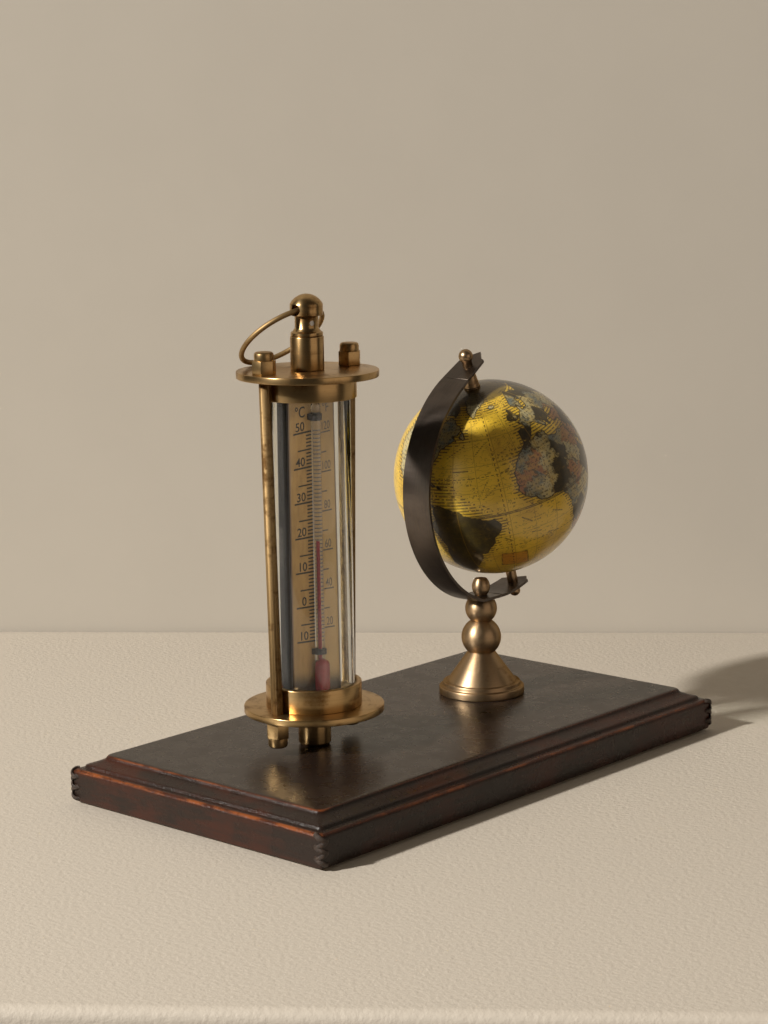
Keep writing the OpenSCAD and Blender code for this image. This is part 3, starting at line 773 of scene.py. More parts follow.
def corner_lacing():
    """A flat thong laced in a zigzag up each corner."""
    high = node_box("leather_cover")[1]
    width = sizes().thong_width / MM
    bm = bmesh.new()
    for x in (-1, 1):
        for y in (-1, 1):
            for number, level in enumerate(LACING_LEVELS):
                slant = math.radians(LACING_SLANT if number % 2 else -LACING_SLANT)
                corner = Vector((x * (high.x - LACING_IN), y * (high.y - LACING_IN), level))
                place = Matrix.Translation(corner) @ Matrix.Rotation(math.atan2(y, x), 4, "Z")
                add_thong(bm, place @ Matrix.Rotation(slant, 4, "X"), width)
    bmesh.ops.transform(bm, matrix=TO_METRES, verts=bm.verts)
    material = plain_material(
        "lacing_thong", colours().thong, roughness=0.40, scale=1.1, change=0.7, bump=1.0, depth=0.3
    )
    return make_piece(bm, "corner_thongs", "stand", material, ("corner_lacing",), 40)


class STAND_OT_base(bpy.types.Operator):
    """Makes the leather cover with its moulding and the corner lacing, and finishes core and felt."""

    bl_idname = "stand.base"
    bl_label = "Base"

    def execute(self, context):
        leather_board()
        corner_lacing()
        felt = plain_material("felt", colours().felt, roughness=0.95, scale=1.5, change=0.4, bump=0.5)
        wood = plain_material("bare_wood", BARE_WOOD, roughness=0.6, scale=0.2, change=0.4, bump=0.2)
        give_material(felt, "base_felt")
        give_material(wood, "board_core")
        return {"FINISHED"}


# Lantern


def add_cap_nut(bm, centre, turn, low, high, hex_height):
    """A hexagon with broken edges and a smaller drum with a rounded end, from low to high.

    The hexagon's height is negative where the nut hangs down."""
    hexagon = bmesh.new()
    place = Matrix.Translation((centre.x, centre.y, low + hex_height / 2)) @ Matrix.Rotation(turn, 4, "Z")
    corner = NUT_ACROSS / 2 / math.cos(math.pi / 6)
    bmesh.ops.create_cone(
        hexagon, cap_ends=True, segments=6, radius1=corner, radius2=corner, depth=abs(hex_height),
        matrix=place,
    )
    round_off(hexagon, hexagon.edges[:], NUT_EDGE, 2)
    bmesh.ops.transform(hexagon, matrix=TO_METRES, verts=hexagon.verts)
    append(bm, hexagon)
    inside = low + hex_height * 0.8
    outline = [(0, inside), (NUT_DRUM, inside), (NUT_DRUM, high), (0, high)]
    spin_outline(bm, outline, upright(centre), DRUM_EDGE, 64)


def cap_nuts(node, up, hex_height):
    """The two cap nuts of a node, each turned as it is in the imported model."""
    low, high = node_box(node)
    ends = (low.z, high.z) if up else (high.z, low.z)
    bm = bmesh.new()
    points = [vert.co / MM for vert in frame["nodes"][node].data.vertices]
    for side in (-1, 1):
        own = [p for p in points if (p.x - LANTERN_AXIS.x) * side > 0]
        lows = Vector([min(p[axis] for p in own) for axis in range(3)])
        highs = Vector([max(p[axis] for p in own) for axis in range(3)])
        centre = (lows + highs) / 2
        far = max((p - centre for p in own), key=lambda p: p.xy.length)
        turn = math.atan2(far.y, far.x) + math.pi / 2
        add_cap_nut(bm, centre, turn, *ends, hex_height if up else -hex_height)
    return make_piece(bm, "brass_" + node, "stand", metal("nut_brass"), (node,), 25)


def lantern_part(name, node, outline, soften=None):
    place = upright(LANTERN_AXIS)
    turned_piece(name, metal("lantern_brass"), node, outline, place, soften)


class STAND_OT_lantern(bpy.types.Operator):
    """Makes the lantern's foot, flanges, collars, rods and cap nuts."""

    bl_idname = "stand.lantern"
    bl_label = "Lantern"

    def execute(self, context):
        for node in ("lantern_foot", "lower_flange", "upper_flange"):
            low, high = node_box(node)
            outline = ring_outline(BORES[node], node_radius(node), low.z, high.z)
            if node == "lantern_foot":
                foot = node_radius(node)
                outline[1:2] = [(foot - FOOT_BEVEL, low.z), (foot, low.z + FOOT_BEVEL)]
            lantern_part("brass_" + node, node, outline)
        for node, up in (("lower_collar", 1), ("upper_collar", -1)):
            low, high = node_box(node)
            closed, mouth = (low.z, high.z) if up > 0 else (high.z, low.z)
            outer = node_radius(node)
            inner, floor = outer - COLLAR_WALL, closed + COLLAR_FLOOR * up
            outline = [(BORES[node], closed), (outer, closed), (outer, mouth)]
            outline += [(inner, mouth), (inner, floor), (BORES[node], floor)]
            lantern_part("brass_" + node, node, outline)
        copied_piece("pillar_rods", "brass_pillar_rods", "stand", metal("wire_brass"))
        cap_nuts("top_cap_nuts", True, TOP_HEX)
        cap_nuts("bottom_cap_nuts", False, BOTTOM_HEX)
        give_material(metal("plain_steel"), "base_washers", "lantern_screw")
        return {"FINISHED"}


# Finial


class STAND_OT_finial(bpy.types.Operator):
    """Makes the finial's post, knob, set screw and carrying ring."""

    bl_idname = "stand.finial"
    bl_label = "Finial"

    def execute(self, context):
        low, high = node_box("finial_post")
        post = ring_outline(BORES["finial_post"], node_radius("finial_post"), low.z, high.z)
        lantern_part("brass_post", "finial_post", post, POST_EDGE)
        axes = (upright(LANTERN_AXIS),)
        copied_piece("finial_knob", "brass_knob", "stand", metal("lantern_brass"), axes=axes)
        copied_piece("neck_set_screw", "steel_set_screw", "stand", metal("plain_steel"))
        copied_piece("carry_ring", "brass_ring", "ring", metal("wire_brass"), 60)
        give_material(metal("plain_steel"), "finial_stud")
        return {"FINISHED"}


# Thermometer


def plate_place():
    """Local +X along the plate, +Z up, and -Y out of the plate's face."""
    return upright(LANTERN_AXIS, LANTERN_TURN)


def celsius_height(degrees):
    return CELSIUS_ZERO + degrees * CELSIUS_STEP


def fahrenheit_height(degrees):
    return CELSIUS_ZERO + (degrees - 32) * FAHRENHEIT_STEP


def add_line(bm, ends, height, width):
    """A flat mark on the plate's face between two places along it, at a height."""
    middle = Vector((sum(ends) / 2, -PLATE_FRONT - MARK_PROUD / 2, height))
    add_box(bm, middle, (ends[1] - ends[0], MARK_PROUD, width))


def add_text(bm, words, left, base, height, narrow, weight):
    """Plain figures on the plate's face, from their left end and their base line."""
    curve = bpy.data.curves.new("figures", "FONT")
    curve.body = words
    curve.size = height / FIGURE_SHARE
    curve.offset = weight
    curve.extrude = MARK_PROUD / 2
    holder = bpy.data.objects.new("figures", curve)
    bpy.context.scene.collection.objects.link(holder)
    bpy.context.view_layer.update()
    mesh = bpy.data.meshes.new_from_object(holder.evaluated_get(bpy.context.evaluated_depsgraph_get()))
    turn = Matrix.Rotation(math.pi / 2, 4, "X")
    place = Matrix.Translation((left, -PLATE_FRONT - MARK_PROUD / 2, base))
    mesh.transform(place @ turn @ Matrix.Diagonal((narrow, 1, 1, 1)))
    bm.from_mesh(mesh)
    bpy.data.objects.remove(holder)
    bpy.data.curves.remove(curve)
    bpy.data.meshes.remove(mesh)


def celsius_marks():
    """A line at every degree, longer at fives and tens, figures at the tens and the heading."""
    width = sizes().line_width / MM
    bm = bmesh.new()
    for degrees in range(-10, 51):
        height = celsius_height(degrees)
        if degrees % 10 == 0:
            add_line(bm, TEN_DEGREES, height, width * 1.2)
            words = str(abs(degrees))
            left = -8.0 if len(words) > 1 else -6.4
            add_text(bm, words, left, height + 0.75, height=3.15, narrow=0.98, weight=0.055)
        else:
            add_line(bm, ONE_DEGREE, height, width)
        if degrees % 10 == 5:
            add_line(bm, FIVE_DEGREES, height, width)
    add_text(bm, "°C", -8.1, HEADING_BASE, height=3.9, narrow=0.80, weight=0.06)
    return bm


def fahrenheit_marks():
    """A short tick at every second degree, lines at the tens, figures at every twenty and the heading."""
    width = sizes().line_width / MM
    bm = bmesh.new()
    for degrees in range(14, 123, 2):
        add_line(bm, FAHRENHEIT_TICK, fahrenheit_height(degrees), width * 0.8)
    for degrees in range(20, 121, 20):
        height = fahrenheit_height(degrees)
        add_line(bm, FAHRENHEIT_FIGURED, height, width)
        words = str(degrees)
        left = 3.9 if len(words) > 2 else 4.9
        add_text(bm, words, left, height + 0.8, height=3.0, narrow=0.76, weight=0.02)
    for degrees in range(30, 111, 20):
        add_line(bm, FAHRENHEIT_PLAIN, fahrenheit_height(degrees), width)
    add_text(bm, "°F", 4.8, HEADING_BASE, height=3.4, narrow=0.85, weight=0.02)
    return bm


def plate_material():
    """Golden plate, browner at its edges, with faint upright streaks, and painted shade that darkens it to
    ink towards its bottom, where it goes down into the lower collar.
    """
    shader = Shader("scale_face")
    tones = colours()
    inputs = {"Vector": shader.coordinates(LANTERN_AXIS), "Angle": -LANTERN_TURN}
    turned = shader.node("ShaderNodeVectorRotate", inputs, rotation_type="Z_AXIS").outputs[0]
    along, depth, up = shader.split(turned)
    cloud = shader.noise(shader.join(along, depth, shader.times(up, 0.3)), 0.5, 4.0)
    ground = shader.mix(shader.ramp(cloud, 0.35, 0.7), tones.plate, shaded(tones.plate, 0.8))
    from_middle = shader.away(along)
    # Painted shade: the face darkens to ink towards its bottom, where the lower collar shades it.
    low = shader.ramp(up, 9.5, 16.0, 0.9, 0.0)
    greyer = shader.mix(shader.ramp(along, 0.5, 7.0, 0.0, 0.55), ground, tones.plate_grey)
    colour = shader.mix(shader.ramp(from_middle, 10.2, 10.8), greyer, tones.plate_rim)
    # The painted shade at the bottom joins the dark outer edge of the face, and both go to ink.
    dark = shader.highest(low, shader.ramp(from_middle, 11.02, 11.12))
    colour = shader.mix(dark, colour, tones.ink)
    inputs = {
        "Base Color": colour,
        "Roughness": shader.ramp(cloud, 0.3, 0.7, 0.38, 0.5),
        "Normal": shader.bump(shader.noise(turned, 1.6, 3.0), 0.08, 0.05 * MM),
        "Metallic": 0.25,
    }
    return shader.finish(inputs)


def add_slab(node, name, depths, material):
    """A flat bar with broken edges, upright behind the tube, between two depths."""
    low, high = node_box(node)
    bm = bmesh.new()
    middle = Vector((0, sum(depths) / 2, (low.z + high.z) / 2))
    add_box(bm, middle, (PLATE_WIDTH, depths[1] - depths[0], high.z - low.z))
    round_off(bm, bm.edges[:], PLATE_EDGE, 2)
    bmesh.ops.transform(bm, matrix=TO_METRES @ plate_place(), verts=bm.verts)
    make_piece(bm, name, "stand", material, (node,))


def add_glass_cylinder():
    low, high = node_box("glass_cylinder")
    radius = node_radius("glass_cylinder")
    outline = ring_outline(radius - GLASS_WALL, radius, low.z, high.z)
    clear = glass_material("clear_glass", (0.97, 0.98, 0.97), 1.47)
    place = upright(LANTERN_AXIS)
    turned_piece("glass_tube", clear, "glass_cylinder", outline, place, GLASS_EDGE, 192)


def add_tube():
    """The glass stem and bulb, and the red spirit in their bore."""
    glass = glass_material("tube_glass", (0.95, 0.97, 1.0), 1.5)
    stem_place = plate_place() @ Matrix.Translation((0, -PLATE_FRONT - STEM_RADIUS - TUBE_GAP, 0))
    top = node_box("thermometer_tube")[1].z
    outline = [(0, STEM_BOTTOM), (STEM_RADIUS, STEM_BOTTOM + 0.5), (STEM_RADIUS, top - STEM_RADIUS)]
    outline += arc(0, top - STEM_RADIUS, STEM_RADIUS, 10, 80, 7) + [(0, top)]
    turned_piece("thermometer_stem", glass, "thermometer_tube", outline, stem_place, 0, 64)

    spirit = plain_material(
        "spirit_red", colours().spirit, roughness=0.4, scale=0.5, change=0.2, bump=0.0,
        inputs={"Specular IOR Level": 0.2},
    )
    bulb_place = plate_place() @ Matrix.Translation((0, -PLATE_FRONT - BULB_RADIUS - TUBE_GAP, 0))
    low, high = node_box("red_spirit")
    radius, bottom, top = BULB_RADIUS - BULB_WALL, low.z, BULB_TOP - BULB_WALL
    filled = arc(0, bottom + radius, radius, -80, 0, 8) + arc(0, top - radius, radius, 0, 80, 8)
    thread = [(0, STEM_BOTTOM), (BORE_RADIUS, STEM_BOTTOM), (BORE_RADIUS, high.z), (0, high.z)]
    bm = bmesh.new()
    spin_outline(bm, [(0, bottom)] + filled + [(0, top)], bulb_place, 0, 48)
    spin_outline(bm, thread, stem_place, 0, 24)
    make_piece(bm, "red_column", "stand", spirit, ("red_spirit",))
    shell = [(across + BULB_WALL, up) for across, up in filled]
    shell = [(0, bottom - BULB_WALL)] + shell + [(0, top + BULB_WALL)]
    bm = bmesh.new()
    spin_outline(bm, shell, bulb_place, 0, 64)
    make_piece(bm, "thermometer_bulb", "stand", glass)


class STAND_OT_thermometer(bpy.types.Operator):
    """Makes the glass cylinder, the scale plate with its marks, the tube, its clips and the spirit."""

    bl_idname = "stand.thermometer"
    bl_label = "Thermometer"

    def execute(self, context):
        tones = colours()
        face = plate_material()
        block = plain_material(
            "black_block", tones.block, roughness=0.5, scale=0.5, change=0.4, bump=0.15,
            inputs={"Specular IOR Level": 0.1},
        )
        add_slab("scale_plate", "scale_plate_face", (-PLATE_FRONT, -PLATE_BACK), face)
        add_slab("scale_block", "block_behind_scale", (-PLATE_BACK, BLOCK_BACK), block)
        print_finish = {"roughness": 0.5, "scale": 1.0, "change": 0.3, "bump": 0.05}
        ink = plain_material("scale_ink", tones.ink, **print_finish)
        faint = plain_material("faint_scale_ink", tones.faint_ink, **print_finish)
        for name, marks, material in (
            ("celsius_scale", celsius_marks(), ink),
            ("fahrenheit_scale", fahrenheit_marks(), faint),
        ):
            bmesh.ops.transform(marks, matrix=TO_METRES @ plate_place(), verts=marks.verts)
            make_piece(marks, name, "stand", material, (), 20)
        add_glass_cylinder()
        add_tube()
        clips = plain_material("clip_bronze", tones.clip, roughness=0.35, scale=0.8, change=0.4, bump=0.2)
        copied_piece("tube_clips", "dark_clips", "stand", clips)
        give_material(plain_material("gasket_rubber", RUBBER, roughness=0.7), "lower_gasket", "upper_gasket")
        return {"FINISHED"}


# Globe stand


def stand_part(name, node, outline, soften):
    turned_piece(name, metal("stand_brass"), node, outline, upright(STAND_AXIS), soften)


class STAND_OT_globe_stand(bpy.types.Operator):
    """Makes the globe's turned foot, cone, balls and barrel nut."""

    bl_idname = "stand.globe_stand"
    bl_label = "Globe stand"

    def execute(self, context):
        low, high = node_box("globe_foot")
        radius = node_radius("globe_foot")
        shoulder, bead = low.z + FOOT_SHOULDER, radius - FOOT_BEAD
        outline = [(TIE_ROD_BORE, low.z), (radius, low.z), (radius, shoulder), (bead, shoulder)]
        outline += [(bead, high.z), (TIE_ROD_BORE, high.z)]
        stand_part("brass_globe_foot", "globe_foot", outline, 0.45)
        low, high = node_box("stem_cone")
        wide, slender = CONE_RADII
        outline = [(TIE_ROD_BORE, low.z), (wide, low.z), (slender, high.z), (TIE_ROD_BORE, high.z)]
        stand_part("brass_cone", "stem_cone", outline, 0.2)
        for node, centre in BALL_CENTRES.items():
            low, high = node_box(node)
            radius = node_radius(node)
            start, end = (math.degrees(math.asin((level - centre) / radius)) for level in (low.z, high.z))
            outline = [(TIE_ROD_BORE, low.z)] + arc(0, centre, radius, start, end, 32)
            stand_part("brass_" + node, node, outline + [(TIE_ROD_BORE, high.z)], 0)
        low, high = node_box("meridian_nut")
        radius, half = node_radius("meridian_nut"), (high.z - low.z) / 2
        outline = [(0, low.z)]
        for step in range(17):
            rise = half * (step / 8 - 1)
            across = radius - BARREL_CURVE + math.sqrt(BARREL_CURVE**2 - rise**2)
            outline.append((across, (low.z + high.z) / 2 + rise))
        stand_part("brass_barrel_nut", "meridian_nut", outline + [(0, high.z)], 0)
        give_material(metal("plain_steel"), "tie_rod", "tie_rod_nut")
        return {"FINISHED"}


# Meridian


def bronze_material():
    """Darkened bronze strip: brushed along its length, greyer where it catches the light."""
    shader = Shader("dark_bronze")
    tones = colours()
    place = shader.coordinates()
    x, y, z = shader.split(place)
    lines = shader.noise(shader.join(y, shader.times(x, 0.04), shader.times(z, 0.04)), 5.0, 3.0)
    clouds = shader.noise(place, 0.06, 4.0, 0.55)
    colour = shader.mix(shader.ramp(clouds, 0.35, 0.7), tones.bronze, shaded(tones.bronze, 0.55))
    inputs = {
        "Base Color": shader.mix(shader.ramp(lines, 0.35, 0.7, 0.0, 0.3), colour, tones.bronze_lines),
        "Metallic": 1.0,
        "Roughness": shader.ramp(clouds, 0.3, 0.7, 0.28, 0.38),
        "Normal": shader.bump(lines, 0.05, 0.05 * MM),
    }
    return shader.finish(inputs)


class STAND_OT_meridian(bpy.types.Operator):
    """Makes the bent meridian strip, the axle, its spacers and its ball nuts."""

    bl_idname = "stand.meridian"
    bl_label = "Meridian"

    def execute(self, context):
        copied_piece("meridian_arc", "bronze_strip", "meridian", bronze_material())
        copied_piece("globe_axle", "steel_axle", "meridian", metal("plain_steel"))
        for node in ("upper_spacer", "lower_spacer", "upper_pivot_nut", "lower_pivot_nut"):
            copied_piece(node, "brass_" + node, "meridian", metal("pivot_brass"))
        return {"FINISHED"}


# Globe map: longitude and latitude of the coasts, in degrees

COASTS = {
    "south_america": [
        (-76, 0), (-78, 5), (-74, 8.5), (-67, 6.4), (-61, 4.5), (-55, 1), (-49, -0.5), (-44, -2.5), (-39, -4),
        (-37.4, -6.5), (-39.5, -11), (-43, -16), (-45, -20), (-48, -23), (-53.5, -27), (-56, -33), (-62, -39),
        (-65, -45), (-68, -52), (-73, -52), (-77, -44), (-79, -36), (-77, -27), (-75, -18), (-79, -9),
        (-81, -4),
    ],
    "north_america": [
        (-77, 8), (-82, 9), (-84, 11), (-83, 15), (-88, 16), (-87, 21), (-90, 21), (-92, 18.5), (-97, 20),
        (-97, 27), (-90, 29.5), (-84, 30), (-82, 27), (-80, 25.5), (-81, 31), (-76, 35), (-74, 40),
        (-70, 42), (-66, 44.5), (-61, 46), (-65, 49), (-60, 50), (-56, 52), (-61, 56), (-65, 60), (-72, 61),
        (-78, 58), (-79, 52), (-83, 55), (-93, 59), (-94, 63), (-86, 67), (-96, 68), (-115, 68), (-128, 70),
        (-156, 71), (-166, 68), (-162, 64), (-165, 60), (-158, 58), (-152, 60), (-140, 60), (-132, 56),
        (-124, 49), (-124, 40), (-118, 34), (-112, 28), (-110, 24), (-105, 20), (-97, 16), (-92, 14),
        (-86, 11), (-82, 7.5),
    ],
    "greenland": [
        (-44, 60), (-52, 65), (-54, 70), (-62, 76), (-70, 78), (-60, 82), (-35, 83.5), (-20, 80),
        (-20, 74), (-25, 70), (-38, 66),
    ],
    "arctic_isles": [
        (-80, 63), (-66, 62), (-62, 67), (-72, 72), (-90, 74), (-110, 73), (-100, 69), (-84, 67),
    ],
    "newfoundland": [(-59, 47.5), (-53, 46.8), (-55.5, 51.5)],
    "iceland": [(-24, 65.5), (-22, 64), (-18.5, 63.4), (-13.7, 65), (-16, 66.4), (-21, 66)],
    "cuba": [(-85, 22), (-80, 23), (-74.5, 20.2), (-78, 20)],
    "hispaniola": [(-74, 18.4), (-73, 20), (-68.5, 18.6), (-71, 17.8)],
    "britain": [
        (-5.5, 50.2), (1.3, 51.2), (1.5, 52.8), (-1.5, 55), (-2, 57.6), (-5, 58.6), (-4.8, 54.5), (-4.5, 52),
    ],
    "ireland": [(-10, 52), (-6.2, 52.2), (-6, 54.5), (-8.5, 55.2), (-10, 54)],
    "africa": [
        (-8, 36), (-13, 33), (-18, 29), (-22, 23), (-23, 18), (-24, 12), (-21, 8.5), (-18, 5.6),
        (-12, 2.4), (-5.6, 0.7), (0, 1.5), (5, 0.5), (8, -3), (11.5, -9), (12.5, -13), (13, -18),
        (14.5, -23), (18, -33), (20, -34.8), (27, -33.6), (32, -28.5), (35, -24), (35, -20), (40, -15.5),
        (39, -6), (43, -1), (50, 9), (51, 12), (43, 11.5), (39, 15), (37, 21), (33, 28), (32.5, 31.3),
        (22, 32.5), (19.5, 30.5), (11, 33.5), (10, 37.2), (0, 36),
    ],
    "eurasia": [
        (-9, 37), (-9.4, 39), (-8.8, 43.2), (-1.7, 43.4), (-1.2, 46), (-4.7, 48.4), (0, 49.4), (4, 52),
        (8, 54), (8.5, 57), (10.8, 57.5), (11, 54), (20, 54.8), (23.5, 59), (30, 60), (21.5, 61), (25, 65),
        (18, 62), (18, 59.5), (14, 55.5), (11, 59), (5.5, 59), (5, 62), (14, 68), (25, 71), (41, 67),
        (33, 66.5), (44, 66), (54, 68.5), (68, 69), (75, 72), (100, 76), (130, 71), (160, 70), (179, 68),
        (179, 63), (163, 58), (157, 51), (155, 59), (140, 54), (131, 43), (127, 35), (126, 39), (118, 39),
        (122, 31), (114, 22), (108, 21), (109, 12), (105, 9), (101, 13), (103, 1.5), (98, 10), (94, 17),
        (89, 22), (80, 15), (77.5, 8), (72.5, 20), (67, 25), (57, 26), (50, 30), (55, 25), (59.5, 22.5),
        (52, 16), (45, 13), (39, 21), (34.5, 28), (34.5, 31.5), (36, 36.5), (28, 36.8), (26.5, 40.5),
        (31, 41.2), (41, 41.5), (38, 45.5), (33, 46), (29, 44), (28, 41.5), (23, 40), (23.5, 37.5),
        (21.5, 37), (19.5, 41), (13.5, 45.5), (18.3, 40), (16, 38), (12, 42), (8.8, 44.4), (3.2, 43),
        (3, 41.5), (-0.5, 38.5), (-2, 36.8), (-5.5, 36),
    ],
    "madagascar": [(44, -17), (49.5, -12.5), (50, -16), (47, -25), (43.5, -22)],
    "australia": [
        (114, -22), (122, -18), (130, -12), (137, -12), (140, -17.5), (142.5, -11), (146, -19), (153, -27),
        (150, -37), (141, -38.5), (131, -31.5), (116, -35),
    ],
    "new_zealand": [(167, -46), (174.5, -41), (173, -35), (178, -38), (170.5, -46)],
    "borneo": [(109, 1.5), (117, 7), (118, 1), (114.5, -4), (110, -2)],
    "sumatra": [(95, 5.5), (104, -2), (105.5, -6), (101, -3)],
    "java": [(105.5, -6.5), (114.5, -7.5), (114, -8.6), (106, -7.8)],
    "new_guinea": [(131, -1), (141, -3), (150, -10), (143, -9), (133, -4)],
    "japan": [(130, 31.5), (135, 34), (140, 35.5), (141.5, 40), (145, 43.5), (141, 45), (137, 37), (132, 35)],
    "philippines": [(121, 18), (122, 14), (125.5, 7), (122.5, 8), (120, 15)],
    "antarctica": [
        (-180, -78), (-150, -76), (-110, -74), (-75, -72), (-60, -64), (-60, -74), (-30, -78), (0, -70),
        (50, -67), (110, -66), (165, -71), (180, -78), (180, -89.5), (-180, -89.5),
    ],
}

# Short strokes of the print and the sides of the plain box, each as longitude and latitude of its ends
STROKES = [
    ((-66.7, 35.8), (-53.6, 42.4)), ((-47.4, 35.3), (-37, 42.8)), ((-46.5, 12.7), (-40, 21.5)),
    ((-45, 10.7), (-34, 18)), ((-25, -5), (-19, -9.5)), ((-5, -8), (2, -11)), ((-62, 28), (-52, 28)),
    ((-58, 24.5), (-50, 24.5)), ((-30, 34), (-24, 36)), ((-28, 31), (-21, 33)), ((-33, 27), (-25, 28.5)),
    ((-31, 24), (-26, 25)), ((-37, -16), (-33, -19)), ((-20, -17), (-14, -18)), ((-8, -22), (-1, -23)),
    ((-41, -28.6), (-24, -31)), ((-24, -31), (-22, -45)), ((-22, -45), (-43, -41)),
    ((-43, -41), (-41, -28.6)),
]
PLAIN_BOX = [(-41, -28.6), (-24, -31), (-22, -45), (-43, -41)]

# Tints of the lands: longitude, latitude and tint of each country-sized patch
TINTS = [
    (4, 30, "pale"), (3, 20, "pale"), (-9.6, 22, "rust"), (-15, 27, "blue"), (-17, 16, "rust"),
    (-12, 11, "blue"), (-4, 8, "pale"), (8, 14, "dark"), (12, 24, "dark"), (5, 6, "dark"), (16, 31, "blue"),
    (25, 17, "pale"), (22, 6, "rust"), (15, -4, "blue"), (27, -6, "pale"), (20, -18, "dark"),
    (33, -16, "blue"), (26, -30, "rust"), (38, 6, "dark"), (31, 24, "rust"), (-6, 46, "dark"),
    (-4, 39, "dark"), (4, 46, "blue"), (11, 50, "pale"), (12, 42, "blue"), (20, 46, "dark"),
    (24, 55, "pale"), (16, 64, "blue"), (27, 66, "dark"), (38, 52, "blue"), (35, 39, "rust"),
    (46, 34, "dark"), (52, 45, "pale"), (62, 60, "dark"), (60, 28, "pale"), (76, 22, "rust"),
    (85, 40, "pale"), (100, 60, "blue"), (110, 30, "dark"), (130, 62, "pale"), (135, -25, "rust"),
    (-100, 40, "pale"), (-84, 36, "blue"), (-95, 57, "dark"), (-72, 55, "blue"),
    (-115, 60, "pale"), (-112, 42, "pale"), (-98, 22, "pale"), (-40, 72, "pale"), (-75, 72, "dark"),
    (-60, -10, "dark"), (-50, -20, "dark"), (-68, 2, "dark"), (-72, -30, "dark"), (-52, -4, "dark"),
]


def sphere_point(longitude, latitude):
    """Unit vectors of places on the map, +Z to the north and +X at longitude 0."""
    lon, lat = np.radians(longitude), np.radians(latitude)
    return np.stack([np.cos(lat) * np.cos(lon), np.cos(lat) * np.sin(lon), np.sin(lat)], -1)


def distance_to_arcs(points, starts, ends):
    """Least distance from unit vectors to short great-circle arcs, as chords of the unit ball."""
    least = np.full(len(points), 9.0)
    for start, end in zip(starts, ends):
        along = end - start
        share = np.clip((points - start) @ along / max(along @ along, 1e-12), 0, 1)
        near = start + share[:, None] * along
        near /= np.linalg.norm(near, axis=1)[:, None]
        least = np.minimum(least, np.linalg.norm(points - near, axis=1))
    return least


def inside_outline(longitude, latitude, outline):
    """True where a place lies inside an outline of longitude and latitude."""
    inside = np.zeros(len(longitude), bool)
    for (x1, y1), (x2, y2) in zip(outline, outline[1:] + outline[:1]):
        crosses = (y1 > latitude) != (y2 > latitude)
        with np.errstate(divide="ignore", invalid="ignore"):
            edge = (x2 - x1) * (latitude - y1) / (y2 - y1) + x1
        inside ^= crosses & (longitude < edge)
    return inside


def ragged(outline, rough=1.1, pieces=4):
    """An outline with its straight stretches broken up into a crooked coast."""
    crooked = []
    for (x1, y1), (x2, y2) in zip(outline, outline[1:] + outline[:1]):
        for step in range(pieces):
            share = step / pieces
            x, y = x1 + (x2 - x1) * share, y1 + (y2 - y1) * share
            sway = math.sin(math.pi * share) * rough
            x += sway * noise.noise((x * 0.31, y * 0.31, 1.7)) * 2
            y += sway * noise.noise((x * 0.31, y * 0.31, 8.3)) * 2
            crooked.append((x, y))
    return crooked


def store(mesh, name, values, kind="FLOAT", field="value"):
    """Keeps one value or colour for each point of a mesh, for the map's material to read."""
    layer = mesh.attributes.new(name, kind, "POINT")
    layer.data.foreach_set(field, np.asarray(values, np.float32).ravel())


def paint_map(mesh, to_map):
    """Stores where each point of the ball is on the map, and how far it is from the coasts and strokes.

    The distances are in millimetres, and below 0 at sea for the coasts. The reach is how far the
    hatching goes out from the coast, wider round one stretch of islands."""
    count = len(mesh.vertices)
    places = np.empty(count * 3)
    mesh.vertices.foreach_get("co", places)
    places = places.reshape(-1, 3) @ np.array(to_map.to_3x3()).T
    places /= np.linalg.norm(places, axis=1)[:, None]
    longitude = np.degrees(np.arctan2(places[:, 1], places[:, 0]))
    latitude = np.degrees(np.arcsin(np.clip(places[:, 2], -1, 1)))
    coast = np.full(count, 9.0)
    land = np.zeros(count, bool)
    for name, outline in COASTS.items():
        line = ragged(outline) if name != "antarctica" else outline
        ends = sphere_point(*np.array(line).T)
        coast = np.minimum(coast, distance_to_arcs(places, ends, np.roll(ends, -1, 0)))
        land |= inside_outline(longitude, latitude, line)
    starts, ends = (sphere_point(*np.array(line).T) for line in zip(*STROKES))
    stroke = distance_to_arcs(places, starts, ends)
    crowd = np.exp(-(((longitude + 57) / 17) ** 2) - ((latitude - 11) / 11) ** 2)
    store(mesh, "coast", np.where(land, coast, -coast) * GLOBE_RADIUS)
    store(mesh, "stroke", stroke * GLOBE_RADIUS)
    store(mesh, "longitude", longitude)
    store(mesh, "latitude", latitude)
    store(mesh, "plain", inside_outline(longitude, latitude, PLAIN_BOX))
    store(mesh, "reach", 1.6 + 3.5 * crowd)
    paint_lands(mesh, longitude, latitude)


def paint_lands(mesh, longitude, latitude):
    """Gives each point its nearest patch's tint, and how far it is from the border between two patches."""
    sway = 2.2 * np.sin(latitude * 0.41 + longitude * 0.17) + 1.2 * np.sin(latitude * 1.3 - longitude * 0.9)
    swing = 1.8 * np.sin(longitude * 0.37 - latitude * 0.2) + 1.1 * np.sin(longitude * 1.1 + latitude * 0.8)
    places = sphere_point(longitude + sway, np.clip(latitude + swing, -90, 90))
    seeds = sphere_point(*np.array([tint[:2] for tint in TINTS]).T)
    gaps = np.linalg.norm(places[:, None, :] - seeds[None], axis=2)
    order = np.argsort(gaps, axis=1)[:, :2]
    near, next_one = np.take_along_axis(gaps, order, 1).T
    tones = [tuple(getattr(colours(), "land_" + tint[2])) + (1,) for tint in TINTS]
    store(mesh, "tint", np.array(tones)[order[:, 0]], "FLOAT_COLOR", "color")
    store(mesh, "border", (next_one - near) * GLOBE_RADIUS / 2)


def map_frame():
    """Turns directions of the stand at rest to the map's: +Z north, +X at longitude 0."""
    facing = (TO_CAMERA - AXLE * TO_CAMERA.dot(AXLE)).normalized()
    to_local = Matrix((facing, AXLE.cross(facing), AXLE)).to_4x4()
    return Matrix.Rotation(FACING_LONGITUDE, 4, "Z") @ to_local


# Half the width of the map's net lines, in millimetres
NET_LINE = 0.13


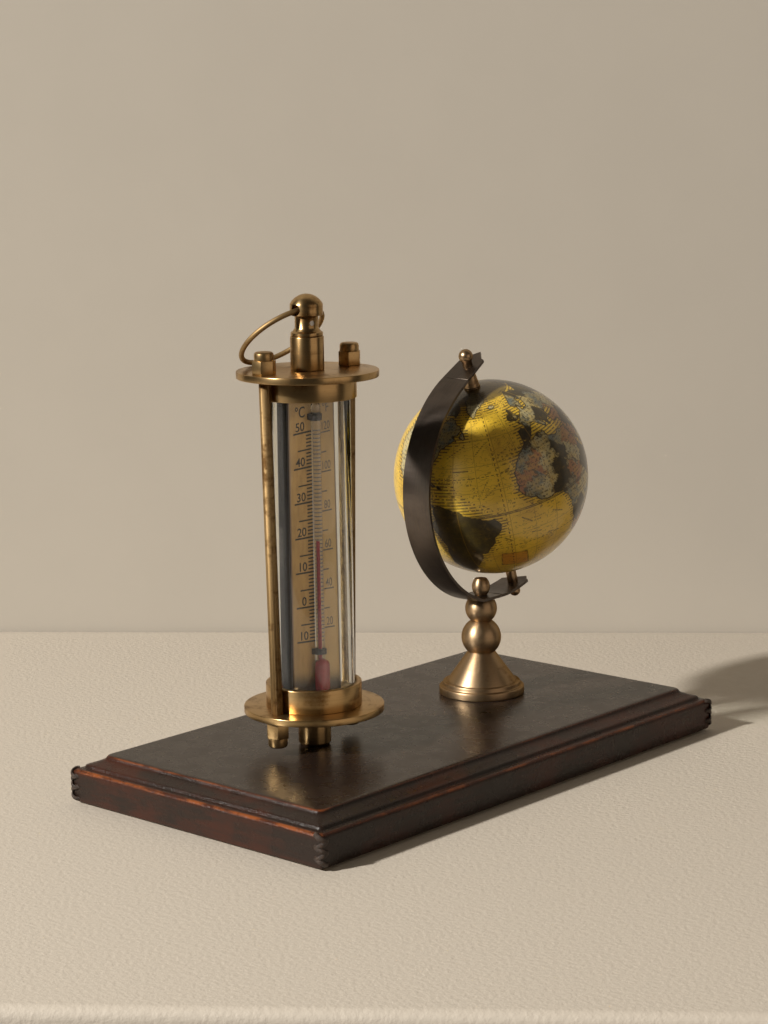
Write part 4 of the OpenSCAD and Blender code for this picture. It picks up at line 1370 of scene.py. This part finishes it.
def line_mask(shader, value, period, half_width):
    """1 on lines at every whole period of a value, where half_width is in the value's own unit."""
    wrapped = shader.math("PINGPONG", value, period / 2)
    if isinstance(half_width, (int, float)):
        return shader.ramp(wrapped, half_width * 0.5, half_width * 1.5, 1.0, 0.0)
    return shader.ramp(shader.math("DIVIDE", wrapped, half_width), 0.5, 1.5, 1.0, 0.0)


def broken_rows(shader, longitude, latitude):
    """Short dashes of the print, in rows round the ball."""
    rows = shader.math("DIVIDE", latitude, 2.1)
    in_row = shader.ramp(shader.away(shader.math("FRACT", rows), 0.5), 0.18, 0.26, 1.0, 0.0)
    row = shader.times(shader.math("FLOOR", rows), 7.3)
    dashes = shader.noise(shader.join(shader.times(longitude, 0.9), row, 0.0), 1.0, 1.0)
    return shader.times(shader.ramp(dashes, 0.52, 0.56), in_row)


def land_print(shader, place, longitude, latitude, wobble, dashes, sea):
    """Colour of the lands: faded tints with dashes, relief and borders between the tints."""
    tint = shader.node("ShaderNodeAttribute", attribute_name="tint").outputs["Color"]
    lightness = shader.ramp(shader.split(tint)[1], 0.03, 0.15, 0.15, 1.0)
    faded = shader.ramp(shader.noise(place, 0.3, 4.0, 0.65), 0.35, 0.65, 0.0, 0.4)
    mottled = shader.mix(shader.times(faded, lightness), tint, sea)
    relief = shader.noise(shader.join(longitude, shader.times(latitude, 1.6), 4.0), 0.42, 4.0, 0.75)
    border = shader.away(shader.plus(shader.attribute("border"), shader.times(wobble, 0.6)))
    marks = shader.highest(
        shader.times(dashes, 0.7),
        shader.ramp(relief, 0.56, 0.62, 0.0, 0.75),
        shader.ramp(border, 0.12, 0.34, 0.8, 0.0),
    )
    return shader.mix(marks, mottled, colours().map_ink)


def sea_print(shader, place, longitude, latitude, shore, dashes):
    """Marks of the sea: hatching off the coasts, lines of flow, sparse dashes and strokes."""
    strip = shader.times(latitude, 0.55)
    ragged_row = shader.join(shader.times(longitude, 0.12), shader.math("FLOOR", strip), 2.0)
    ends = shader.ramp(shader.noise(ragged_row, 3.0, 1.0), 0.3, 0.7, -1.9, -0.4)
    reach = shader.times(ends, shader.attribute("reach"))
    near = shader.ramp(shader.minus(shore, reach), -0.1, 0.1)
    hatch = shader.times(near, shader.ramp(shader.math("FRACT", strip), 0.50, 0.62))
    flow = shader.noise(shader.join(shader.times(longitude, 0.4), latitude, 3.0), 0.3, 2.0)
    sparse = shader.ramp(shader.noise(place, 0.12, 2.0), 0.54, 0.60, 0.0, 0.65)
    return shader.highest(
        shader.times(hatch, 0.85),
        shader.ramp(shader.away(flow, 0.5), 0.006, 0.016, 0.5, 0.0),
        shader.times(dashes, sparse),
        shader.ramp(shader.attribute("stroke"), 0.14, 0.4, 0.85, 0.0),
    )


def dashed(shader, line, along, gap):
    """A line that is broken every three degrees along it, with a gap of that share."""
    phase = shader.math("FRACT", shader.math("DIVIDE", along, 3.0))
    return shader.times(line, shader.math("GREATER_THAN", phase, gap))


def net_print(shader, longitude, latitude, net, narrow):
    """The net with its double equator and ticks, one broken meridian and the broken tropics."""
    north = shader.away(latitude)
    equator = shader.ramp(shader.away(north, 0.5), 0.16, 0.34, 1.0, 0.0)
    band = shader.ramp(north, 0.5, 0.6, 1.0, 0.0)
    ticks = shader.times(band, shader.ramp(shader.math("PINGPONG", longitude, 2.5), 1.25, 1.3))
    meridian = shader.ramp(shader.times(shader.away(longitude, -34.0), narrow), 0.16, 0.36, 1.0, 0.0)
    tropics = shader.ramp(shader.away(north, 23.5), 0.12, 0.3, 1.0, 0.0)
    return shader.highest(
        shader.times(net, 0.45),
        shader.times(equator, 0.9),
        shader.times(ticks, 0.6),
        dashed(shader, meridian, latitude, 0.45),
        dashed(shader, tropics, longitude, 0.4),
    )


def map_material():
    """Aged printed map under varnish: sea, lands, borders, coasts, hatching, net and strokes, with a dark cap
    round the north pole that is partly a printed polar cap and partly painted shadow of the meridian strip.
    """
    shader = Shader("map_print")
    tones = colours()
    place = shader.coordinates(GLOBE_CENTRE)
    longitude, latitude = shader.attribute("longitude"), shader.attribute("latitude")
    wobble = shader.minus(shader.noise(place, 0.55, 4.0, 0.6), 0.5)
    shore = shader.plus(shader.attribute("coast"), shader.times(wobble, 1.1))
    land = shader.ramp(shore, -0.05, 0.05)
    ageing = shader.noise(place, 0.045, 5.0, 0.55)
    sea = shader.mix(shader.ramp(ageing, 0.40, 0.75), tones.sea, tones.sea_aged)
    boxed = shader.mix(shader.times(shader.attribute("plain"), 0.75), sea, tones.box)
    dashes = broken_rows(shader, longitude, latitude)
    lands = land_print(shader, place, longitude, latitude, wobble, dashes, sea)
    colour = shader.mix(land, boxed, lands)

    narrow = shader.math("COSINE", shader.times(latitude, math.pi / 180))
    line_degrees = math.degrees(NET_LINE / GLOBE_RADIUS)
    slim = shader.math("DIVIDE", line_degrees, shader.math("MAXIMUM", narrow, 0.08))
    eastward = shader.plus(longitude, 2.0)
    net = shader.highest(
        line_mask(shader, eastward, 15.0, slim), line_mask(shader, latitude, 15.0, line_degrees)
    )
    sea_marks = sea_print(shader, place, longitude, latitude, shore, dashes)
    inked = shader.highest(
        net_print(shader, longitude, latitude, net, narrow),
        shader.ramp(shader.away(shore), 0.12, 0.34, 1.0, 0.0),
        shader.times(sea_marks, shader.minus(1.0, land)),
    )
    worn = shader.ramp(shader.noise(place, 0.8, 3.0), 0.25, 0.6, 0.6, 1.0)
    colour = shader.mix(shader.times(inked, worn), colour, tones.map_ink)
    seams = line_mask(shader, eastward, 30.0, shader.times(slim, 1.4))
    colour = shader.mix(shader.times(seams, 0.3), colour, tones.sea_aged)
    # Dark cap round the north pole: partly a printed polar cap, partly painted shadow of the meridian strip's
    # top.
    polar_cap_and_shadow = shader.ramp(shader.plus(latitude, shader.times(wobble, 3.0)), 69.0, 71.5, 0.0, 0.8)
    colour = shader.mix(polar_cap_and_shadow, colour, tones.map_ink)
    stains = shader.ramp(shader.noise(place, 0.35, 5.0, 0.7), 0.58, 0.75, 0.0, 0.3)
    relief = shader.plus(shader.noise(place, 0.4, 4.0), shader.times(seams, -0.6))
    inputs = {
        "Base Color": shader.mix(stains, colour, tones.sea_aged),
        "Roughness": shader.ramp(ageing, 0.3, 0.7, 0.36, 0.5),
        "Normal": shader.bump(relief, 0.12, 0.1 * MM),
        "Coat Weight": 0.75,
        "Coat Roughness": 0.12,
    }
    return shader.finish(inputs)


class STAND_OT_globe(bpy.types.Operator):
    """Makes the globe's varnished map, and finishes the shells and bushes."""

    bl_idname = "stand.globe"
    bl_label = "Globe"

    def execute(self, context):
        to_map = map_frame()
        bm = bmesh.new()
        bmesh.ops.create_uvsphere(
            bm, u_segments=GLOBE_MERIDIANS, v_segments=GLOBE_MERIDIANS // 2, radius=GLOBE_RADIUS
        )
        bmesh.ops.transform(bm, matrix=to_map.inverted(), verts=bm.verts)
        bmesh.ops.transform(bm, matrix=TO_METRES @ Matrix.Translation(GLOBE_CENTRE), verts=bm.verts)
        globe = make_piece(bm, "globe_map", "globe", map_material(), ("map_gores",), 180)
        globe.data.transform(Matrix.Translation(-GLOBE_CENTRE * MM))
        paint_map(globe.data, to_map)
        globe.data.transform(Matrix.Translation(GLOBE_CENTRE * MM))
        pulp = plain_material("pressed_pulp", PRESSED_PULP, roughness=0.9, scale=0.5, change=0.3, bump=0.3)
        give_material(pulp, "globe_north", "globe_south")
        copied_piece("pole_bushes", "brass_bushes", "globe", metal("pivot_brass"))
        return {"FINISHED"}


# Stage


def area_lamp(name, place, target, size, power, colour):
    data = bpy.data.lights.new(name, "AREA")
    data.shape = "RECTANGLE"
    data.size, data.size_y = size
    data.energy = power
    data.color = colour
    lamp = bpy.data.objects.new(name, data)
    lamp.location = place
    lamp.rotation_euler = (Vector(place) - Vector(target)).to_track_quat("Z", "Y").to_euler()
    bpy.context.scene.collection.objects.link(lamp)


def stage_piece(bm, name, material):
    """A piece of the stage, modelled about the wall's foot with +X along the wall and -Y to the front."""
    bmesh.ops.transform(bm, matrix=WALL_FOOT, verts=bm.verts)
    new_object(bm, name, material, 35)


def table_top():
    """The pale floor: a slab from the wall to its rounded front edge."""
    bm = bmesh.new()
    add_box(bm, (0, -TABLE_SIZE[1] / 2, -TABLE_SIZE[2] / 2), TABLE_SIZE)
    round_off(bm, bm.edges[:], TABLE_EDGE, 4)
    material = plain_material(
        "pale_floor", colours().table, roughness=0.6, scale=0.13, change=0.02, bump=0.9, depth=0.3
    )
    stage_piece(bm, "floor", material)


def backdrop():
    (left, right), (low, high) = WALL_ENDS, WALL_LEVELS
    bm = bmesh.new()
    corners = ((left, 0, low), (right, 0, low), (right, 0, high), (left, 0, high))
    bm.faces.new([bm.verts.new(corner) for corner in corners])
    stage_piece(bm, "backdrop", wall_material())


def wall_material():
    """A matt backdrop that is clear from behind, so that the stand can be looked at from every side."""
    shader = Shader("pale_wall")
    mottle = shader.noise(shader.coordinates(), 0.02, 4.0, 0.6)
    tone = colours().wall
    colour = shader.mix(shader.ramp(mottle, 0.3, 0.7), tone, shaded(tone, 0.98))
    matt = shader.node("ShaderNodeBsdfDiffuse", {"Color": colour})
    clear = shader.node("ShaderNodeBsdfTransparent")
    behind = shader.node("ShaderNodeNewGeometry").outputs["Backfacing"]
    return shader.finish_either(behind, matt, clear)


def studio_world():
    """A pale room behind the stage: dimmed where it lights, and dimmer still where metal mirrors it."""
    world = bpy.data.worlds.new("studio")
    world.use_nodes = True
    tree = world.node_tree
    background = tree.nodes["Background"]
    background.inputs[0].default_value = ROOM
    rays = tree.nodes.new("ShaderNodeLightPath")
    before = None
    for kind, strength in ROOM_TO_RAYS.items():
        step = tree.nodes.new("ShaderNodeMath")
        step.operation = "MULTIPLY_ADD"
        step.inputs[1].default_value = strength - LIT_ROOM
        step.inputs[2].default_value = LIT_ROOM
        tree.links.new(rays.outputs[kind], step.inputs[0])
        if before:
            tree.links.new(before.outputs[0], step.inputs[2])
        before = step
    tree.links.new(before.outputs[0], background.inputs[1])
    return world


def add_camera(scene):
    camera = bpy.data.cameras.new("camera")
    camera.sensor_fit = "HORIZONTAL"
    camera.sensor_width = 36
    camera.lens = CAMERA_LENS
    camera.clip_start = 0.01
    level = Matrix((ALONG, TO_CAMERA.cross(ALONG), TO_CAMERA)).transposed()
    turned = level @ Matrix.Rotation(CAMERA_ROLL, 3, "Z")
    eye = bpy.data.objects.new("camera", camera)
    eye.matrix_world = Matrix.Translation(CAMERA_PLACE) @ turned.to_4x4()
    scene.collection.objects.link(eye)
    scene.camera = eye


class STAND_OT_stage(bpy.types.Operator):
    """Sets the floor, the backdrop, the lamps and the camera."""

    bl_idname = "stand.stage"
    bl_label = "Stage"

    def execute(self, context):
        table_top()
        backdrop()
        context.scene.world = studio_world()
        for name, settings in LAMPS.items():
            area_lamp(name, *settings)
        add_camera(context.scene)
        context.scene.view_settings.view_transform = "Standard"
        return {"FINISHED"}


class STAND_PT_panel(bpy.types.Panel):
    """Shows a button for each of the stand's operators, and its sizes and colours."""

    bl_label = "Desk Stand"
    bl_idname = "STAND_PT_panel"
    bl_space_type = "VIEW_3D"
    bl_region_type = "UI"
    bl_category = "Desk Stand"

    def draw(self, context):
        for operator in OPERATORS:
            self.layout.operator(operator.bl_idname)
        for group in (context.scene.stand_sizes, context.scene.stand_colours):
            for name in group.bl_rna.properties.keys():
                if name not in ("rna_type", "name"):
                    self.layout.prop(group, name)


OPERATORS = (
    STAND_OT_base,
    STAND_OT_lantern,
    STAND_OT_finial,
    STAND_OT_thermometer,
    STAND_OT_globe_stand,
    STAND_OT_meridian,
    STAND_OT_globe,
    STAND_OT_stage,
)
CLASSES = (StandSizes, StandColours) + OPERATORS + (STAND_PT_panel,)


def register():
    for kind in CLASSES:
        bpy.utils.register_class(kind)
    bpy.types.Scene.stand_sizes = bpy.props.PointerProperty(type=StandSizes)
    bpy.types.Scene.stand_colours = bpy.props.PointerProperty(type=StandColours)


def unregister():
    del bpy.types.Scene.stand_colours
    del bpy.types.Scene.stand_sizes
    for kind in reversed(CLASSES):
        bpy.utils.unregister_class(kind)


def main():
    """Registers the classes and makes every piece."""
    register()
    for operator in OPERATORS:
        family, name = operator.bl_idname.split(".")
        getattr(getattr(bpy.ops, family), name)()
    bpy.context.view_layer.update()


if __name__ == "__main__":
    main()
